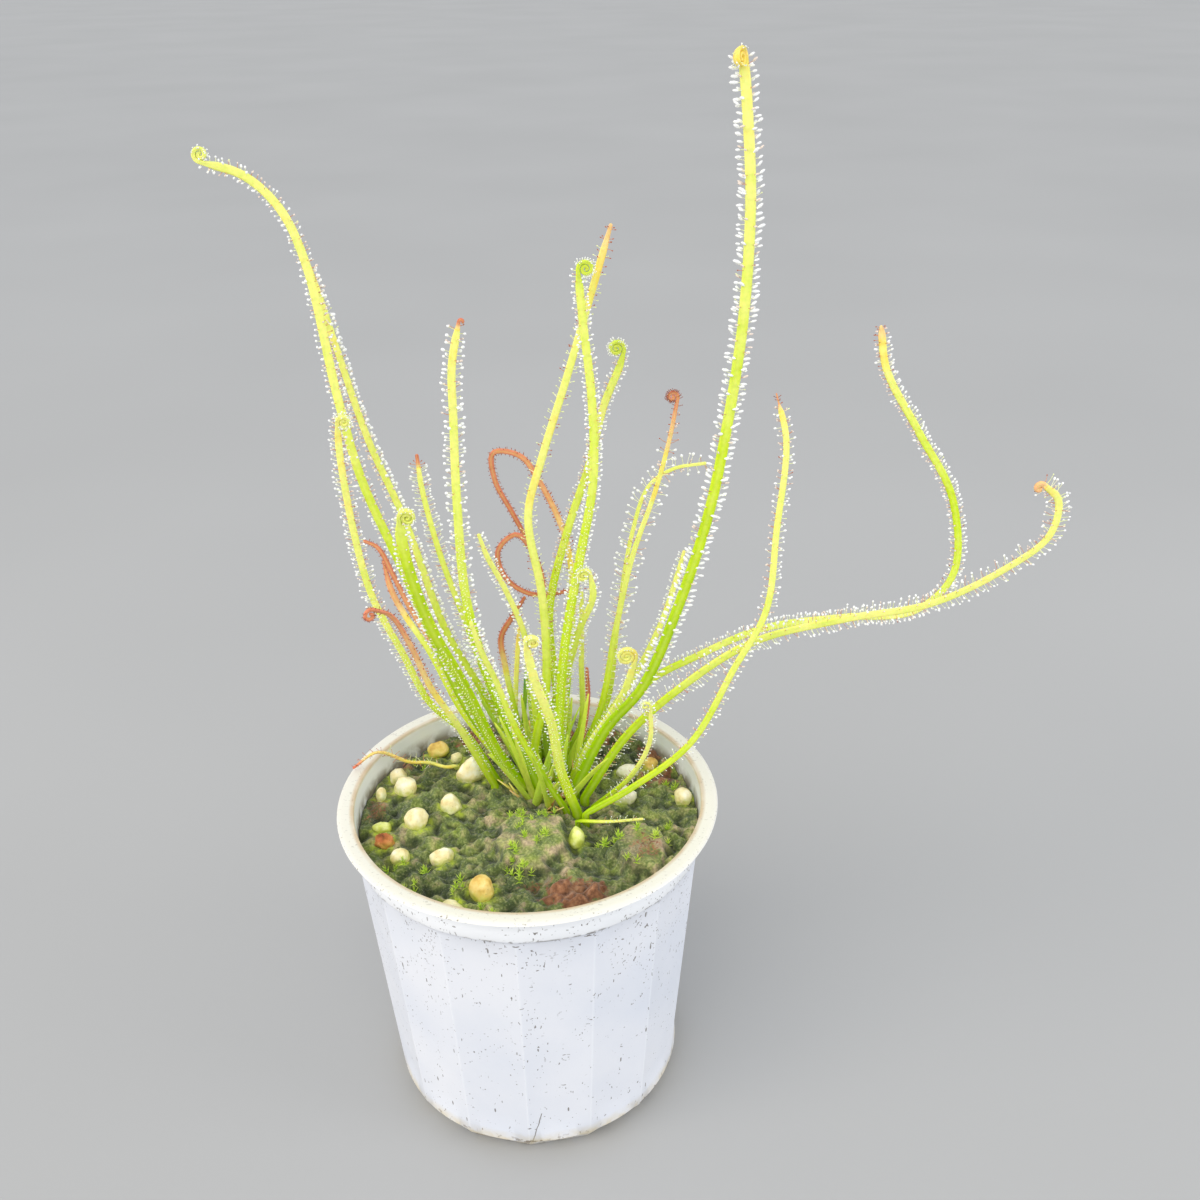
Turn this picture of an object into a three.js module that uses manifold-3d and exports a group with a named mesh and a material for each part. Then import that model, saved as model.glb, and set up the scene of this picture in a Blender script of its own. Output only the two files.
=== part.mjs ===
// A sundew in its white plastic nursery pot.
// Millimetres, +Z up, origin at the centre of the pot's underside.
import * as THREE from 'three';
import { mergeVertices } from 'three/addons/utils/BufferGeometryUtils.js';
import Module from 'manifold-3d';

const wasm = await Module();
wasm.setup();

// ---- Driving dimensions ---------------------------------------------------------------

const GAP = 0.3;                // clearance between pieces that touch
const FINEST = 0.02;            // smallest edge kept after a cut or a join
const ROUND = 45;               // segments round the pot, three for each panel
const OVERRUN = 0.1;            // how far a cutting shape passes what it cuts

const HEIGHT = 81.8;            // pot, foot to lip
const LIP_RADIUS = 45;          // outside of the lip
const LIP_THICK = 1.1;
const MOUTH_RADIUS = 41.0;      // inside of the lip
const COLLAR_RADIUS = 41.8;     // round band below the lip
const COLLAR_LOW = HEIGHT - 8.45;
const DRAFT = 0.1;              // moulding taper of the collar and the lip
const LIP_DROOP = 0.2;          // of the lip's edge below its root
const LIP_ROUND = 0.4;
const LIP_BEVEL = 0.7;
const MOUTH_BEVEL = 0.5;
const MOUTH_TAPER = 0.4;        // narrowing of the inside down to the collar's foot
const PANELS = 15;              // flat panels of the body
const PANEL_TURN = -94;         // degrees, first corner between two panels
const PANEL_TOP = HEIGHT - 9;
const PANEL_TOP_RADIUS = 41.4;  // to the corners
const PANEL_FOOT = 4;
const PANEL_FOOT_RADIUS = 36;
const FOOT_RADIUS = 33.6;       // to the corners, at the underside
const FLOOR = 2.2;              // thickness of the bottom
const WALL = 1.0;
const WALL_THINNER = 0.2;       // at the shoulder
const SHOULDER = 1;             // half the height over which the wall meets the collar
const CORNER = { in: 1.6, up: 0.6 };   // slope between the wall's inside and the bottom

const NOTCH = { width: 4.2, depth: 5, height: 1.6, out: 0.8 };   // drain notches at the foot
const NOTCH_TURNS = [-122, -62, -38, 10, 58, 106, 154, 202];

const SOIL_LEVEL = 75;
const SOIL_FOOT = FLOOR + GAP;
const SOIL_TAPER = 0.1;
const SOIL_RINGS = [0.92, 0.78, 0.62, 0.46, 0.3, 0.14, 0];   // shares of the soil's radius
const RIPPLE = { high: 0.35, long: 0.55, wide: 0.6, low: 0.2, short: 1.3 };
const MOUND_SLOPE = 1.6;
const ROOT_DEPTH = 7;           // of a leaf below the soil
const ROOT_HOLE = 1.0;
const HOLE_SIDES = 6;
const HOLE_ABOVE = 8;           // length of the cutting shape above the soil

const LEAF_STEP = 7.5;          // between two sections of a blade
const BLADE_SIDES = 4;
const FOOT_CLEAR = GAP + 0.2;   // of a blade's foot above the soil
const ROOT_SECTION = { side: 0.58, face: 0.45 };
const BLADE_FACE = 0.55;        // half of the blade's thickness at its foot
const TIP_FACE = 0.38;
const TIP_SIDE = 0.4;
const COIL_STEP = 40;           // degrees
const COIL_CLOSING = 0.6;       // how far a coil's radius shrinks towards its end
const COIL = { side: 0.45, endSide: 0.32, face: 0.6 };   // half sizes of a coil's section

const TENTACLE = { reach: 2.5, tip: 0.34, sides: 3, spacing: 4.3, start: 9, rootShare: 0.8 };
const TENTACLE_ON_COIL = { spacing: 0.45, root: 0.4, outward: 3 };
const TENTACLE_SPREAD = 0.4;    // share by which the spacing varies
const TENTACLE_LEAN = [-0.15, 0.35];
const FIRST_SEED = 17;
const RIM_CLEAR = { in: 2, up: 1.5 };   // of a tentacle's tip inside and above the pot's mouth
const SOIL_CLEAR = 2;
const MEASURE_STEP = 1.2;       // between the points that distances are measured to
const TENTACLE_TILTS = [0, 32, -32, 10, -14, 48, -48];  // degrees out of the blade's plane

const GREEN = 0x8fc224;
const YELLOW_GREEN = 0xb6cc3c;
const YELLOW = 0xc9b42e;
const RED_BROWN = 0x9c4a22;
const TAN = 0xb98d4a;

// Mounds of the soil: centre x, y, radius, height
const MOUNDS = [
  [2, -11, 13, 4.0], [26, -15, 9, 2.4], [-24, 6, 8, 1.2], [-12, -22, 8, 1.0],
  [12, -27, 7, 1.4], [-30, -6, 6, 0.8], [14, 30, 8, -1.4], [-27, 20, 8, -0.8],
];

// Pebbles: x, y, length, depth, height, turn in degrees, colour
const PEBBLES = {
  pebble_orange: [-24, 27.5, 5.2, 4.4, 3.6, 10, 0xe0a94a],
  pebble_cream_back_left: [-18.8, 24.2, 3.2, 2.8, 2.6, 40, 0xe6dca6],
  pebble_white_large: [-14.2, 16.6, 6.8, 5.4, 7.4, 20, 0xf0ecd2],
  pebble_cream_left_back: [-33.2, 17.2, 4.4, 3.8, 3.6, 30, 0xeae0b4],
  pebble_cream_left_long: [-30.6, 11.8, 5.4, 5.8, 4.6, 50, 0xece2b6],
  pebble_cream_left_edge: [-36.4, 9.9, 2.2, 4.2, 3.0, 0, 0xe6dca6],
  pebble_cream_middle_left: [-18.6, 3.4, 4.8, 4.6, 4.2, 25, 0xeadf9c],
  pebble_cream_left_front: [-26.6, -2.6, 5.6, 5.0, 4.6, 35, 0xece2a4],
  pebble_green_dark: [-35.0, -3.6, 4.2, 3.0, 2.4, 0, 0x5d6b34],
  lump_red_peat: [-33.6, -9.0, 4.6, 4.0, 3.4, 15, 0x8d4a26],
  pebble_cream_front_left: [-29.8, -14.6, 4.0, 3.6, 3.2, 20, 0xe6dca6],
  pebble_cream_front: [-19.5, -15.2, 5.2, 4.2, 4.0, 10, 0xe8dd9c],
  pebble_yellow_front: [-10.0, -27.6, 5.4, 5.2, 5.4, 80, 0xd9bf52],
  pebble_cream_rim: [-16.6, -31.4, 5.6, 2.8, 2.6, -26, 0xe6dca6],
  pebble_mossy: [10.9, -12.6, 3.4, 4.2, 4.2, 5, 0xa9b85a],
  pebble_cream_right_edge: [37.2, 3.6, 4.2, 4.0, 3.8, 0, 0xe9dcae],
  pebble_white_speckled: [22.6, 5.6, 6.2, 5.0, 4.8, -20, 0xe6e2d2],
  pebble_speckled_back: [24.4, 15.4, 5.2, 3.6, 3.2, 10, 0xd8d2b8],
  pebble_tan_right: [30.4, 17.2, 3.8, 3.4, 3.2, 0, 0xc8a878],
  pebble_tan_back: [0.6, 37.0, 4.2, 3.4, 3.2, 0, 0xcfb07c],
};
const PEBBLE_SUNK = 0.3;        // share of a pebble's height below the soil
const SMALL_PEBBLE = 4.5;       // length below which a pebble has fewer faces

// Leaves: width at the foot and near the tip, colour, route of the midline from the
// soil to the tip, and for a rolled tip its radius, turns and the side it rolls towards
const UP = [0, 0, 1];
const DOWN = [0, 0, -1];
const LEFT = [-1, 0, 0];
const RIGHT = [1, 0, 0];
const LEFT_FRONT = [-0.55, -0.83, 0];

const LEAVES = {
  leaf_left_longest: {
    width: [2.3, 1.7], colour: YELLOW_GREEN, coil: { radius: 1.4, turns: 1, towards: UP },
    route: [[-3, 13.5, 77], [-13.5, 12.5, 97], [-21, 12, 119], [-26.5, 11.5, 137.5],
      [-33, 11, 158.5], [-36, 10, 178], [-39, 9, 205.5], [-42.5, 8.5, 216],
      [-48.5, 8.5, 222.3], [-56.4, 8, 225.1]],
  },
  leaf_left_second: {
    width: [2.0, 1.4], colour: YELLOW_GREEN,
    route: [[-0.5, 18.5, 75.5], [-11.5, 18, 101.5], [-18, 18, 116], [-25.5, 17, 146.5],
      [-31.5, 17, 165], [-36, 16.5, 185.5], [-39.5, 16, 203]],
  },
  leaf_left_hooked: {
    width: [1.9, 1.5], colour: GREEN, coil: { radius: 1.3, turns: 0.9, towards: RIGHT },
    route: [[-7.5, 14, 74.5], [-14.5, 11.5, 91], [-22.5, 9.5, 102], [-27.5, 7, 117.5],
      [-32.5, 5, 133], [-34.5, 2.5, 150], [-35, -0.5, 168.5], [-34.5, -2, 176.5]],
  },
  leaf_left_wide_coil: {
    width: [2.9, 2.5], colour: GREEN, coil: { radius: 1.7, turns: 1, towards: RIGHT },
    route: [[0, 9, 75], [-6, 6.5, 86.5], [-13.5, 1.5, 111.5], [-19.5, -2.5, 129.5],
      [-23, -6.5, 148.5], [-23.3, -8, 157.8]],
  },
  leaf_left_brown_tip: {
    width: [1.8, 1.2], colour: YELLOW_GREEN,
    route: [[0.5, 16, 76], [-7.5, 16, 98], [-13.5, 17, 120], [-18, 17.5, 136.5],
      [-21, 18, 153], [-21.5, 18, 161]],
  },
  leaf_left_upright: {
    width: [2.6, 1.6], colour: GREEN,
    route: [[3, 7, 76.5], [-3.5, 7, 95.5], [-8.5, 7, 111.5], [-12, 7, 130.5],
      [-12.5, 6.5, 154.5], [-12, 6.5, 173.5], [-11.5, 6, 185], [-9.5, 6, 194]],
  },
  leaf_left_red_hook: {
    width: [2.0, 1.1], colour: TAN, coil: { radius: 1.4, turns: 1, towards: DOWN },
    route: [[-8.5, 10.5, 76.5], [-12, 6.5, 88], [-16, 2, 101], [-20.5, -2.5, 113.5],
      [-23.5, -8, 128], [-26.5, -12, 137.5], [-29.6, -14, 140]],
  },
  leaf_left_dead_thread: {
    width: [1.4, 1.2], colour: RED_BROWN,
    route: [[-5.5, 20, 74.5], [-13, 22.5, 92.5], [-23, 25.5, 110], [-27.5, 27, 118.5],
      [-31, 28.5, 127], [-34, 29.5, 133.5], [-37, 30, 135]],
  },
  leaf_left_yellow: {
    width: [1.8, 1.5], colour: YELLOW,
    route: [[-9.5, 26, 76], [-17, 29, 87], [-24.5, 33.5, 102.5], [-30, 36.5, 111],
      [-33, 38, 117.5], [-34.5, 40, 124.5]],
  },
  leaf_left_over_rim: {
    width: [1.4, 1.1], colour: TAN,
    route: [[-18.5, 20, 76], [-21, 17.5, 77.5], [-25, 17.5, 79], [-29.5, 16, 80.5],
      [-37, 13.5, 85.5], [-42.5, 11, 83]],
  },
  leaf_front_bent_left: {
    width: [1.7, 1.2], colour: GREEN,
    route: [[9, -1, 76.5], [3, -3, 90.5], [-2.5, -5.5, 105.5], [-5.5, -7, 117],
      [-8.5, -9, 127], [-10, -10, 134]],
  },
  leaf_middle_crossing: {
    width: [2.4, 1.6], colour: GREEN,
    route: [[1, 12.5, 77], [2, 13, 87.5], [5, 13, 102], [5, 13.5, 126.5], [2.5, 14, 147.5],
      [6, 14, 161], [12, 14, 179.5], [18, 14, 199], [21.5, 14, 210.5]],
  },
  leaf_middle_tall_coil: {
    width: [2.4, 1.7], colour: YELLOW_GREEN, coil: { radius: 1.6, turns: 1, towards: RIGHT },
    route: [[7.5, 8, 76], [8, 8.5, 96.5], [10, 9, 118], [13.5, 9.5, 137.5], [17, 9.5, 157.5],
      [17, 10, 175.5], [15.5, 10, 191.5], [14.6, 10, 202.8]],
  },
  leaf_middle_round_coil: {
    width: [2.1, 1.7], colour: YELLOW_GREEN, coil: { radius: 1.7, turns: 1, towards: LEFT },
    route: [[9, 16, 76.5], [7.5, 19, 98.5], [6.5, 18.5, 121], [11.5, 19, 142],
      [16.5, 19.5, 157], [20, 19.5, 171], [23.5, 20, 179.5], [24.5, 20, 183]],
  },
  leaf_middle_orange_loop: {
    width: [1.6, 1.2], colour: TAN,
    route: [[9.5, 24.5, 73], [10, 24.5, 92], [12, 24.5, 115], [11, 24.5, 136],
      [5, 25, 151.5], [1, 25, 157.5], [-5, 25, 158.5], [-5, 25.5, 151.5],
      [-1.5, 25.5, 143.5], [2, 26, 135.5]],
  },
  leaf_middle_brown_curl: {
    width: [1.4, 1.2], colour: RED_BROWN,
    route: [[4, 24.5, 73.5], [4.5, 23.5, 95.5], [5.5, 22.5, 119], [4, 22, 132],
      [-0.5, 21.5, 139.5], [-5, 21.5, 135.5], [-3.5, 21, 128.5], [2.5, 21, 124],
      [11.5, 21, 124.5]],
  },
  leaf_middle_left_lean: {
    width: [1.7, 1.2], colour: GREEN,
    route: [[2.5, 17.5, 75], [2, 15.5, 98], [0.5, 13.5, 117], [-3.5, 12, 130.5],
      [-7, 10.5, 139.5], [-8.5, 10, 145]],
  },
  leaf_middle_brown_top: {
    width: [1.7, 1.3], colour: TAN,
    route: [[0, 21.5, 74.5], [-3, 22.5, 90], [-5, 23.5, 103.5], [-5.5, 24, 111],
      [-2, 24.5, 117], [0.5, 25, 121]],
  },
  leaf_front_coil: {
    width: [2.4, 1.9], colour: GREEN, coil: { radius: 1.3, turns: 1, towards: RIGHT },
    route: [[11.5, -3, 77.5], [8, -5.5, 91.5], [6, -8.5, 107.5], [3, -11, 119.5],
      [1.3, -13, 130.2]],
  },
  leaf_middle_small_coil: {
    width: [1.8, 1.5], colour: YELLOW_GREEN, coil: { radius: 1.2, turns: 1, towards: LEFT },
    route: [[2.5, 23, 75], [4.5, 18, 89], [10, 13.5, 106.5], [13.5, 11, 120],
      [16.5, 8.5, 129.5], [16, 8, 135.3]],
  },
  leaf_back_straight: {
    width: [1.6, 1.2], colour: GREEN,
    route: [[10, 27, 74.5], [13.5, 27, 83], [14, 28.5, 100.5], [14.5, 30, 119.5]],
  },
  leaf_back_left_short: {
    width: [1.4, 1.2], colour: YELLOW_GREEN,
    route: [[-4, 28, 74.5], [-3, 31, 90.5], [-1.5, 34, 107.5]],
  },
  leaf_back_blue_green: {
    width: [1.2, 1.0], colour: GREEN,
    route: [[-2, 30, 74.5], [-1, 32, 84.5], [0, 34, 96.5]],
  },
  leaf_middle_short: {
    width: [1.7, 1.3], colour: GREEN,
    route: [[9.5, 21, 75], [9.5, 21.5, 89.5], [9.5, 21.5, 100.5]],
  },
  leaf_back_dead_scrap: {
    width: [1.2, 1.2], colour: RED_BROWN,
    route: [[13.5, 27.5, 74.5], [15.5, 31.5, 87], [15.5, 34, 95]],
  },
  leaf_right_red_coil: {
    width: [1.9, 0.9], colour: YELLOW_GREEN, coil: { radius: 1.2, turns: 1, towards: LEFT },
    route: [[11, 18, 75], [18, 17.5, 92.5], [22, 16.5, 116], [26, 15.5, 136],
      [31, 15, 152], [34, 14.5, 164.5], [35.6, 14, 174.1]],
  },
  leaf_right_level_tip: {
    width: [1.6, 0.8], colour: GREEN,
    route: [[12.5, 23, 74.5], [20, 24, 90.5], [23, 24.5, 114], [26.5, 25, 137],
      [30.5, 25.5, 149], [36, 25.5, 153], [43.5, 26, 154]],
  },
  leaf_right_low_coil: {
    width: [2.0, 1.8], colour: GREEN, coil: { radius: 2.0, turns: 1, towards: LEFT },
    route: [[9.5, 10.5, 75], [15.5, 9.5, 89], [23, 9, 102], [26.3, 8, 113.1]],
  },
  leaf_right_tallest: {
    width: [2.7, 2.3], colour: YELLOW_GREEN, coil: { radius: 1.7, turns: 1, towards: LEFT_FRONT },
    route: [[11, 6.5, 77], [19, 6, 95], [27.5, 5.5, 106.5], [35.5, 6.5, 126.5],
      [42, 7, 149.5], [45.5, 7.5, 170], [48, 7.5, 193], [48.5, 8, 216], [47, 8, 234],
      [46, 8, 241.7]],
  },
  leaf_right_plain: {
    width: [1.9, 1.3], colour: GREEN,
    route: [[11, 20.5, 74.5], [18, 21, 86], [26.5, 22.5, 98.5], [33.5, 24, 113],
      [37.5, 25.5, 125.5], [39, 26, 131.5]],
  },
  leaf_right_curved: {
    width: [1.8, 1.3], colour: YELLOW_GREEN,
    route: [[13.5, -5.5, 79], [25.5, -5, 86.5], [38, -4, 97], [47.5, -3.5, 116.5],
      [54, -3, 130.5], [55.5, -2, 149.5], [56.5, -1.5, 169.5], [54, -1, 179.5]],
  },
  leaf_right_far_hook: {
    width: [2.0, 1.5], colour: YELLOW_GREEN,
    route: [[11, 13, 76], [21, 14.5, 91], [30, 15.5, 102], [41.5, 16.5, 108],
      [57.5, 17.5, 114.5], [77, 19, 116], [94.5, 20, 116.5], [103, 20.5, 125.5],
      [101, 21.5, 145], [91.5, 22.5, 161.5], [83, 23.5, 176], [81, 24, 185.5]],
  },
  leaf_right_arching: {
    width: [2.3, 1.6], colour: YELLOW_GREEN, coil: { radius: 1.1, turns: 0.8, towards: DOWN },
    route: [[13.5, 3.5, 77], [23.5, 2.5, 95], [36, 1, 109], [52, 0, 121], [72, -1.5, 127],
      [90.5, -3, 131], [105.5, -4, 139.5], [113.5, -5, 147.5], [114, -5.5, 156],
      [110, -6, 160]],
  },
  leaf_right_tiny_coil: {
    width: [1.4, 1.0], colour: GREEN, coil: { radius: 1.1, turns: 0.9, towards: LEFT },
    route: [[15.5, 1.5, 75.5], [24, -1.5, 86], [28.5, -4, 97.5], [28.5, -6, 108.9]],
  },
  leaf_front_low: {
    width: [1.3, 1.0], colour: YELLOW_GREEN,
    route: [[11.5, -7.5, 78.5], [18.5, -9.5, 79.5], [26.5, -9, 79.5]],
  },
};

// ---- Solids ---------------------------------------------------------------------------

function solidOf(geometry) {
  const bare = geometry.index ? geometry.toNonIndexed() : geometry.clone();
  bare.deleteAttribute('normal');
  bare.deleteAttribute('uv');
  const closed = mergeVertices(bare, 1e-4);
  return new wasm.Manifold(new wasm.Mesh({
    numProp: 3,
    vertProperties: new Float32Array(closed.attributes.position.array),
    triVerts: new Uint32Array(closed.index.array),
  }));
}

function geometryOf(solid) {
  const mesh = solid.getMesh();
  const geometry = new THREE.BufferGeometry();
  geometry.setAttribute('position', new THREE.BufferAttribute(mesh.vertProperties, 3));
  geometry.setIndex(new THREE.BufferAttribute(mesh.triVerts, 1));
  geometry.computeVertexNormals();
  return geometry;
}

function lathe(profile) {
  const points = profile.map(([radius, height]) => new THREE.Vector2(radius, height));
  const turned = new THREE.LatheGeometry(points, ROUND);
  turned.rotateX(Math.PI / 2);
  turned.rotateZ(THREE.MathUtils.degToRad(PANEL_TURN));
  return turned;
}

function frustum(topRadius, lowRadius, low, top) {
  const body = new THREE.CylinderGeometry(topRadius, lowRadius, top - low, PANELS);
  body.rotateX(Math.PI / 2);
  body.rotateZ(THREE.MathUtils.degToRad(PANEL_TURN + 90));
  body.translate(0, 0, (low + top) / 2);
  return body;
}

// ---- Pot ------------------------------------------------------------------------------

const APOTHEM = Math.cos(Math.PI / PANELS);

// Inside of the wall, radius and height from the floor to the mouth, moved in by a gap
function cavityProfile(inset) {
  const foot = PANEL_FOOT_RADIUS * APOTHEM - WALL - inset;
  const shoulder = PANEL_TOP_RADIUS * APOTHEM - WALL + WALL_THINNER - inset;
  return [[foot - CORNER.in, FLOOR + inset], [foot, PANEL_FOOT + CORNER.up],
    [shoulder, PANEL_TOP - SHOULDER],
    [MOUTH_RADIUS - MOUTH_TAPER - inset, PANEL_TOP + SHOULDER]];
}

function makePot() {
  const lipFoot = HEIGHT - LIP_THICK;
  const collar = solidOf(lathe([[0, COLLAR_LOW], [COLLAR_RADIUS - DRAFT, COLLAR_LOW],
    [COLLAR_RADIUS + DRAFT, lipFoot], [LIP_RADIUS - LIP_ROUND, lipFoot - LIP_DROOP],
    [LIP_RADIUS, lipFoot + LIP_ROUND], [LIP_RADIUS - DRAFT, HEIGHT - LIP_ROUND],
    [LIP_RADIUS - LIP_BEVEL, HEIGHT], [0, HEIGHT]]));
  const panels = solidOf(frustum(PANEL_TOP_RADIUS, PANEL_FOOT_RADIUS, PANEL_FOOT,
    PANEL_TOP + 2 * SHOULDER));
  const foot = solidOf(frustum(PANEL_FOOT_RADIUS, FOOT_RADIUS, 0, PANEL_FOOT));
  const cavity = solidOf(lathe([[0, FLOOR], ...cavityProfile(0),
    [MOUTH_RADIUS, HEIGHT - MOUTH_BEVEL - OVERRUN], [MOUTH_RADIUS + MOUTH_BEVEL, HEIGHT + OVERRUN],
    [0, HEIGHT + OVERRUN]]));
  const notches = NOTCH_TURNS.map((turn) => {
    const box = new THREE.BoxGeometry(NOTCH.depth, NOTCH.width, NOTCH.height * 2);
    box.translate(FOOT_RADIUS + NOTCH.out, 0, 0);
    box.rotateZ(THREE.MathUtils.degToRad(turn));
    return solidOf(box);
  });
  const shell = wasm.Manifold.union([collar, panels, foot]).subtract(cavity);
  return shell.subtract(wasm.Manifold.union(notches));
}

// ---- Soil and pebbles -----------------------------------------------------------------

function soilHeight(x, y) {
  const ripple = RIPPLE.high * Math.sin(x * RIPPLE.long + 1) * Math.cos(y * RIPPLE.wide)
    + RIPPLE.low * Math.sin(x * RIPPLE.short + y);
  return MOUNDS.reduce((height, [mx, my, radius, rise]) => {
    const far = ((x - mx) ** 2 + (y - my) ** 2) / radius ** 2;
    return height + rise * Math.exp(-MOUND_SLOPE * far);
  }, SOIL_LEVEL + ripple);
}

function makeSoil(leaves, pebbles) {
  const wall = cavityProfile(GAP);
  const edge = wall.at(-1)[0] - SOIL_TAPER;
  const body = lathe([[0, SOIL_FOOT], ...wall, [edge, SOIL_LEVEL],
    ...SOIL_RINGS.map((share) => [edge * share, SOIL_LEVEL])]);
  const place = body.attributes.position;
  for (let i = 0; i < place.count; i += 1) {
    if (place.getZ(i) > SOIL_LEVEL - FINEST) {
      place.setZ(i, soilHeight(place.getX(i), place.getY(i)));
    }
  }
  const holes = leaves.map(({ root }) => {
    const length = ROOT_DEPTH + HOLE_ABOVE;
    const hole = new THREE.CylinderGeometry(ROOT_HOLE, ROOT_HOLE, length, HOLE_SIDES);
    hole.rotateX(Math.PI / 2);
    hole.translate(root.x, root.y, root.z + length / 2 - GAP);
    return solidOf(hole);
  });
  const sockets = pebbles.map(({ entry }) => solidOf(pebbleGeometry(entry, GAP)));
  return solidOf(body).subtract(wasm.Manifold.union([...holes, ...sockets])).simplify(FINEST);
}

function pebbleGeometry([x, y, length, depth, height, turn], grow) {
  const stone = new THREE.IcosahedronGeometry(1, length > SMALL_PEBBLE ? 1 : 0);
  stone.scale(length / 2 + grow, depth / 2 + grow, height / 2 + grow);
  stone.rotateZ(THREE.MathUtils.degToRad(turn));
  stone.translate(x, y, soilHeight(x, y) + height * (0.5 - PEBBLE_SUNK));
  return stone;
}

// ---- Leaves ---------------------------------------------------------------------------

const vector = ([x, y, z]) => new THREE.Vector3(x, y, z);

// Points of a rolled tip that starts at the end of the blade
function coilPoints(start, tangent, { radius, turns, towards }) {
  const inward = vector(towards).projectOnPlane(tangent).normalize();
  const centre = start.clone().addScaledVector(inward, radius);
  const count = Math.ceil(turns * 360 / COIL_STEP);
  return Array.from({ length: count }, (_, i) => {
    const share = (i + 1) / count;
    const angle = share * turns * 2 * Math.PI;
    const reach = radius * (1 - COIL_CLOSING * share);
    return centre.clone().addScaledVector(inward, -reach * Math.cos(angle))
      .addScaledVector(tangent, reach * Math.sin(angle));
  });
}

// Midline of a leaf from the lower end of its root to the tip, with its half sizes
function leafLine({ width, route, coil }) {
  const curve = new THREE.CatmullRomCurve3(route.map(vector), false, 'centripetal');
  const length = curve.getLength();
  const blade = curve.getSpacedPoints(Math.ceil(length / LEAF_STEP));
  const ground = soilHeight(blade[0].x, blade[0].y);
  blade[0].z = Math.max(blade[0].z, ground + FOOT_CLEAR);
  const root = new THREE.Vector3(blade[0].x, blade[0].y, ground - ROOT_DEPTH);
  const sections = [ROOT_SECTION, ROOT_SECTION];
  for (let i = 1; i < blade.length; i += 1) {
    const share = i / (blade.length - 1);
    const side = THREE.MathUtils.lerp(width[0], width[1], share) / 2;
    sections.push({ side, face: THREE.MathUtils.lerp(BLADE_FACE, TIP_FACE, share) });
  }
  const tip = coil ? coilPoints(blade.at(-1), curve.getTangent(1), coil) : [];
  sections.at(-1).side = coil ? COIL.side : TIP_SIDE;
  tip.forEach((_, i) => {
    const side = THREE.MathUtils.lerp(COIL.side, COIL.endSide, (i + 1) / tip.length);
    sections.push({ side, face: COIL.face });
  });
  const points = [root, ...blade, ...tip];
  return { points, sections, root, frames: framesAlong(points), coiled: tip.length };
}

// Tangent, side and face directions carried along the midline without a twist
function framesAlong(points) {
  const frames = [];
  const side = new THREE.Vector3(1, 0, 0);
  points.forEach((point, i) => {
    const before = points[Math.max(i - 1, 0)];
    const after = points[Math.min(i + 1, points.length - 1)];
    const tangent = after.clone().sub(before).normalize();
    side.projectOnPlane(tangent).normalize();
    frames.push({ tangent, side: side.clone(), face: side.clone().cross(tangent) });
  });
  return frames;
}

function bladeSolid({ points, sections, frames }) {
  const last = points.length - 1;
  const tube = new THREE.CylinderGeometry(1, 1, 1, BLADE_SIDES, last);
  const place = tube.attributes.position;
  const corner = new THREE.Vector3();
  for (let i = 0; i < place.count; i += 1) {
    const k = Math.round((place.getY(i) + 0.5) * last);
    corner.copy(points[k]).addScaledVector(frames[k].side, place.getX(i) * sections[k].side);
    corner.addScaledVector(frames[k].face, place.getZ(i) * sections[k].face);
    place.setXYZ(i, corner.x, corner.y, corner.z);
  }
  return solidOf(tube);
}

// Draws between 0 and 1 by a linear congruential rule
function randomFrom(seed) {
  let state = seed;
  return () => {
    state = (state * 1664525 + 1013904223) % 4294967296;
    return state / 4294967296;
  };
}

// Where tentacles may stand: points along the blade with their directions
function tentacleSeats(line, seed) {
  const random = randomFrom(seed);
  const { points, frames, coiled } = line;
  const seats = [];
  let travelled = 0;
  let next = TENTACLE.start;
  for (let i = 2; i < points.length; i += 1) {
    const stretch = points[i].distanceTo(points[i - 1]);
    while (next <= travelled + stretch) {
      const share = (next - travelled) / stretch;
      const centre = points[i - 1].clone().lerp(points[i], share);
      const onCoil = i >= points.length - coiled;
      const lean = THREE.MathUtils.lerp(...TENTACLE_LEAN, random());
      seats.push({ centre, frame: frames[i], onCoil, lean });
      const varied = 1 + TENTACLE_SPREAD * (random() - 0.5);
      next += TENTACLE.spacing * (onCoil ? TENTACLE_ON_COIL.spacing : varied);
    }
    travelled += stretch;
  }
  return seats;
}

function tentacleDirection(seat, index, outward) {
  const tilt = THREE.MathUtils.degToRad(TENTACLE_TILTS[index % TENTACLE_TILTS.length]);
  const flip = index % 2 ? 1 : -1;
  const { tangent, side, face } = seat.frame;
  const direction = side.clone().multiplyScalar(flip * Math.cos(tilt));
  direction.addScaledVector(face, Math.sin(tilt)).addScaledVector(tangent, seat.lean);
  if (seat.onCoil) {
    direction.addScaledVector(outward(seat.centre), TENTACLE_ON_COIL.outward);
  }
  return direction.normalize();
}

// A tentacle stays in its own leaf's share of the air, and clear of the soil and the pot
function hasRoom(tip, own, others) {
  const near = (points) => Math.min(...points.map((point) => point.distanceTo(tip)));
  if (others.some((points) => near(points) < near(own) + 2 * GAP)) return false;
  const acrossRim = Math.hypot(tip.x, tip.y) > MOUTH_RADIUS - RIM_CLEAR.in
    && tip.z < HEIGHT + RIM_CLEAR.up;
  return !acrossRim && tip.z > soilHeight(tip.x, tip.y) + SOIL_CLEAR;
}

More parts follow.
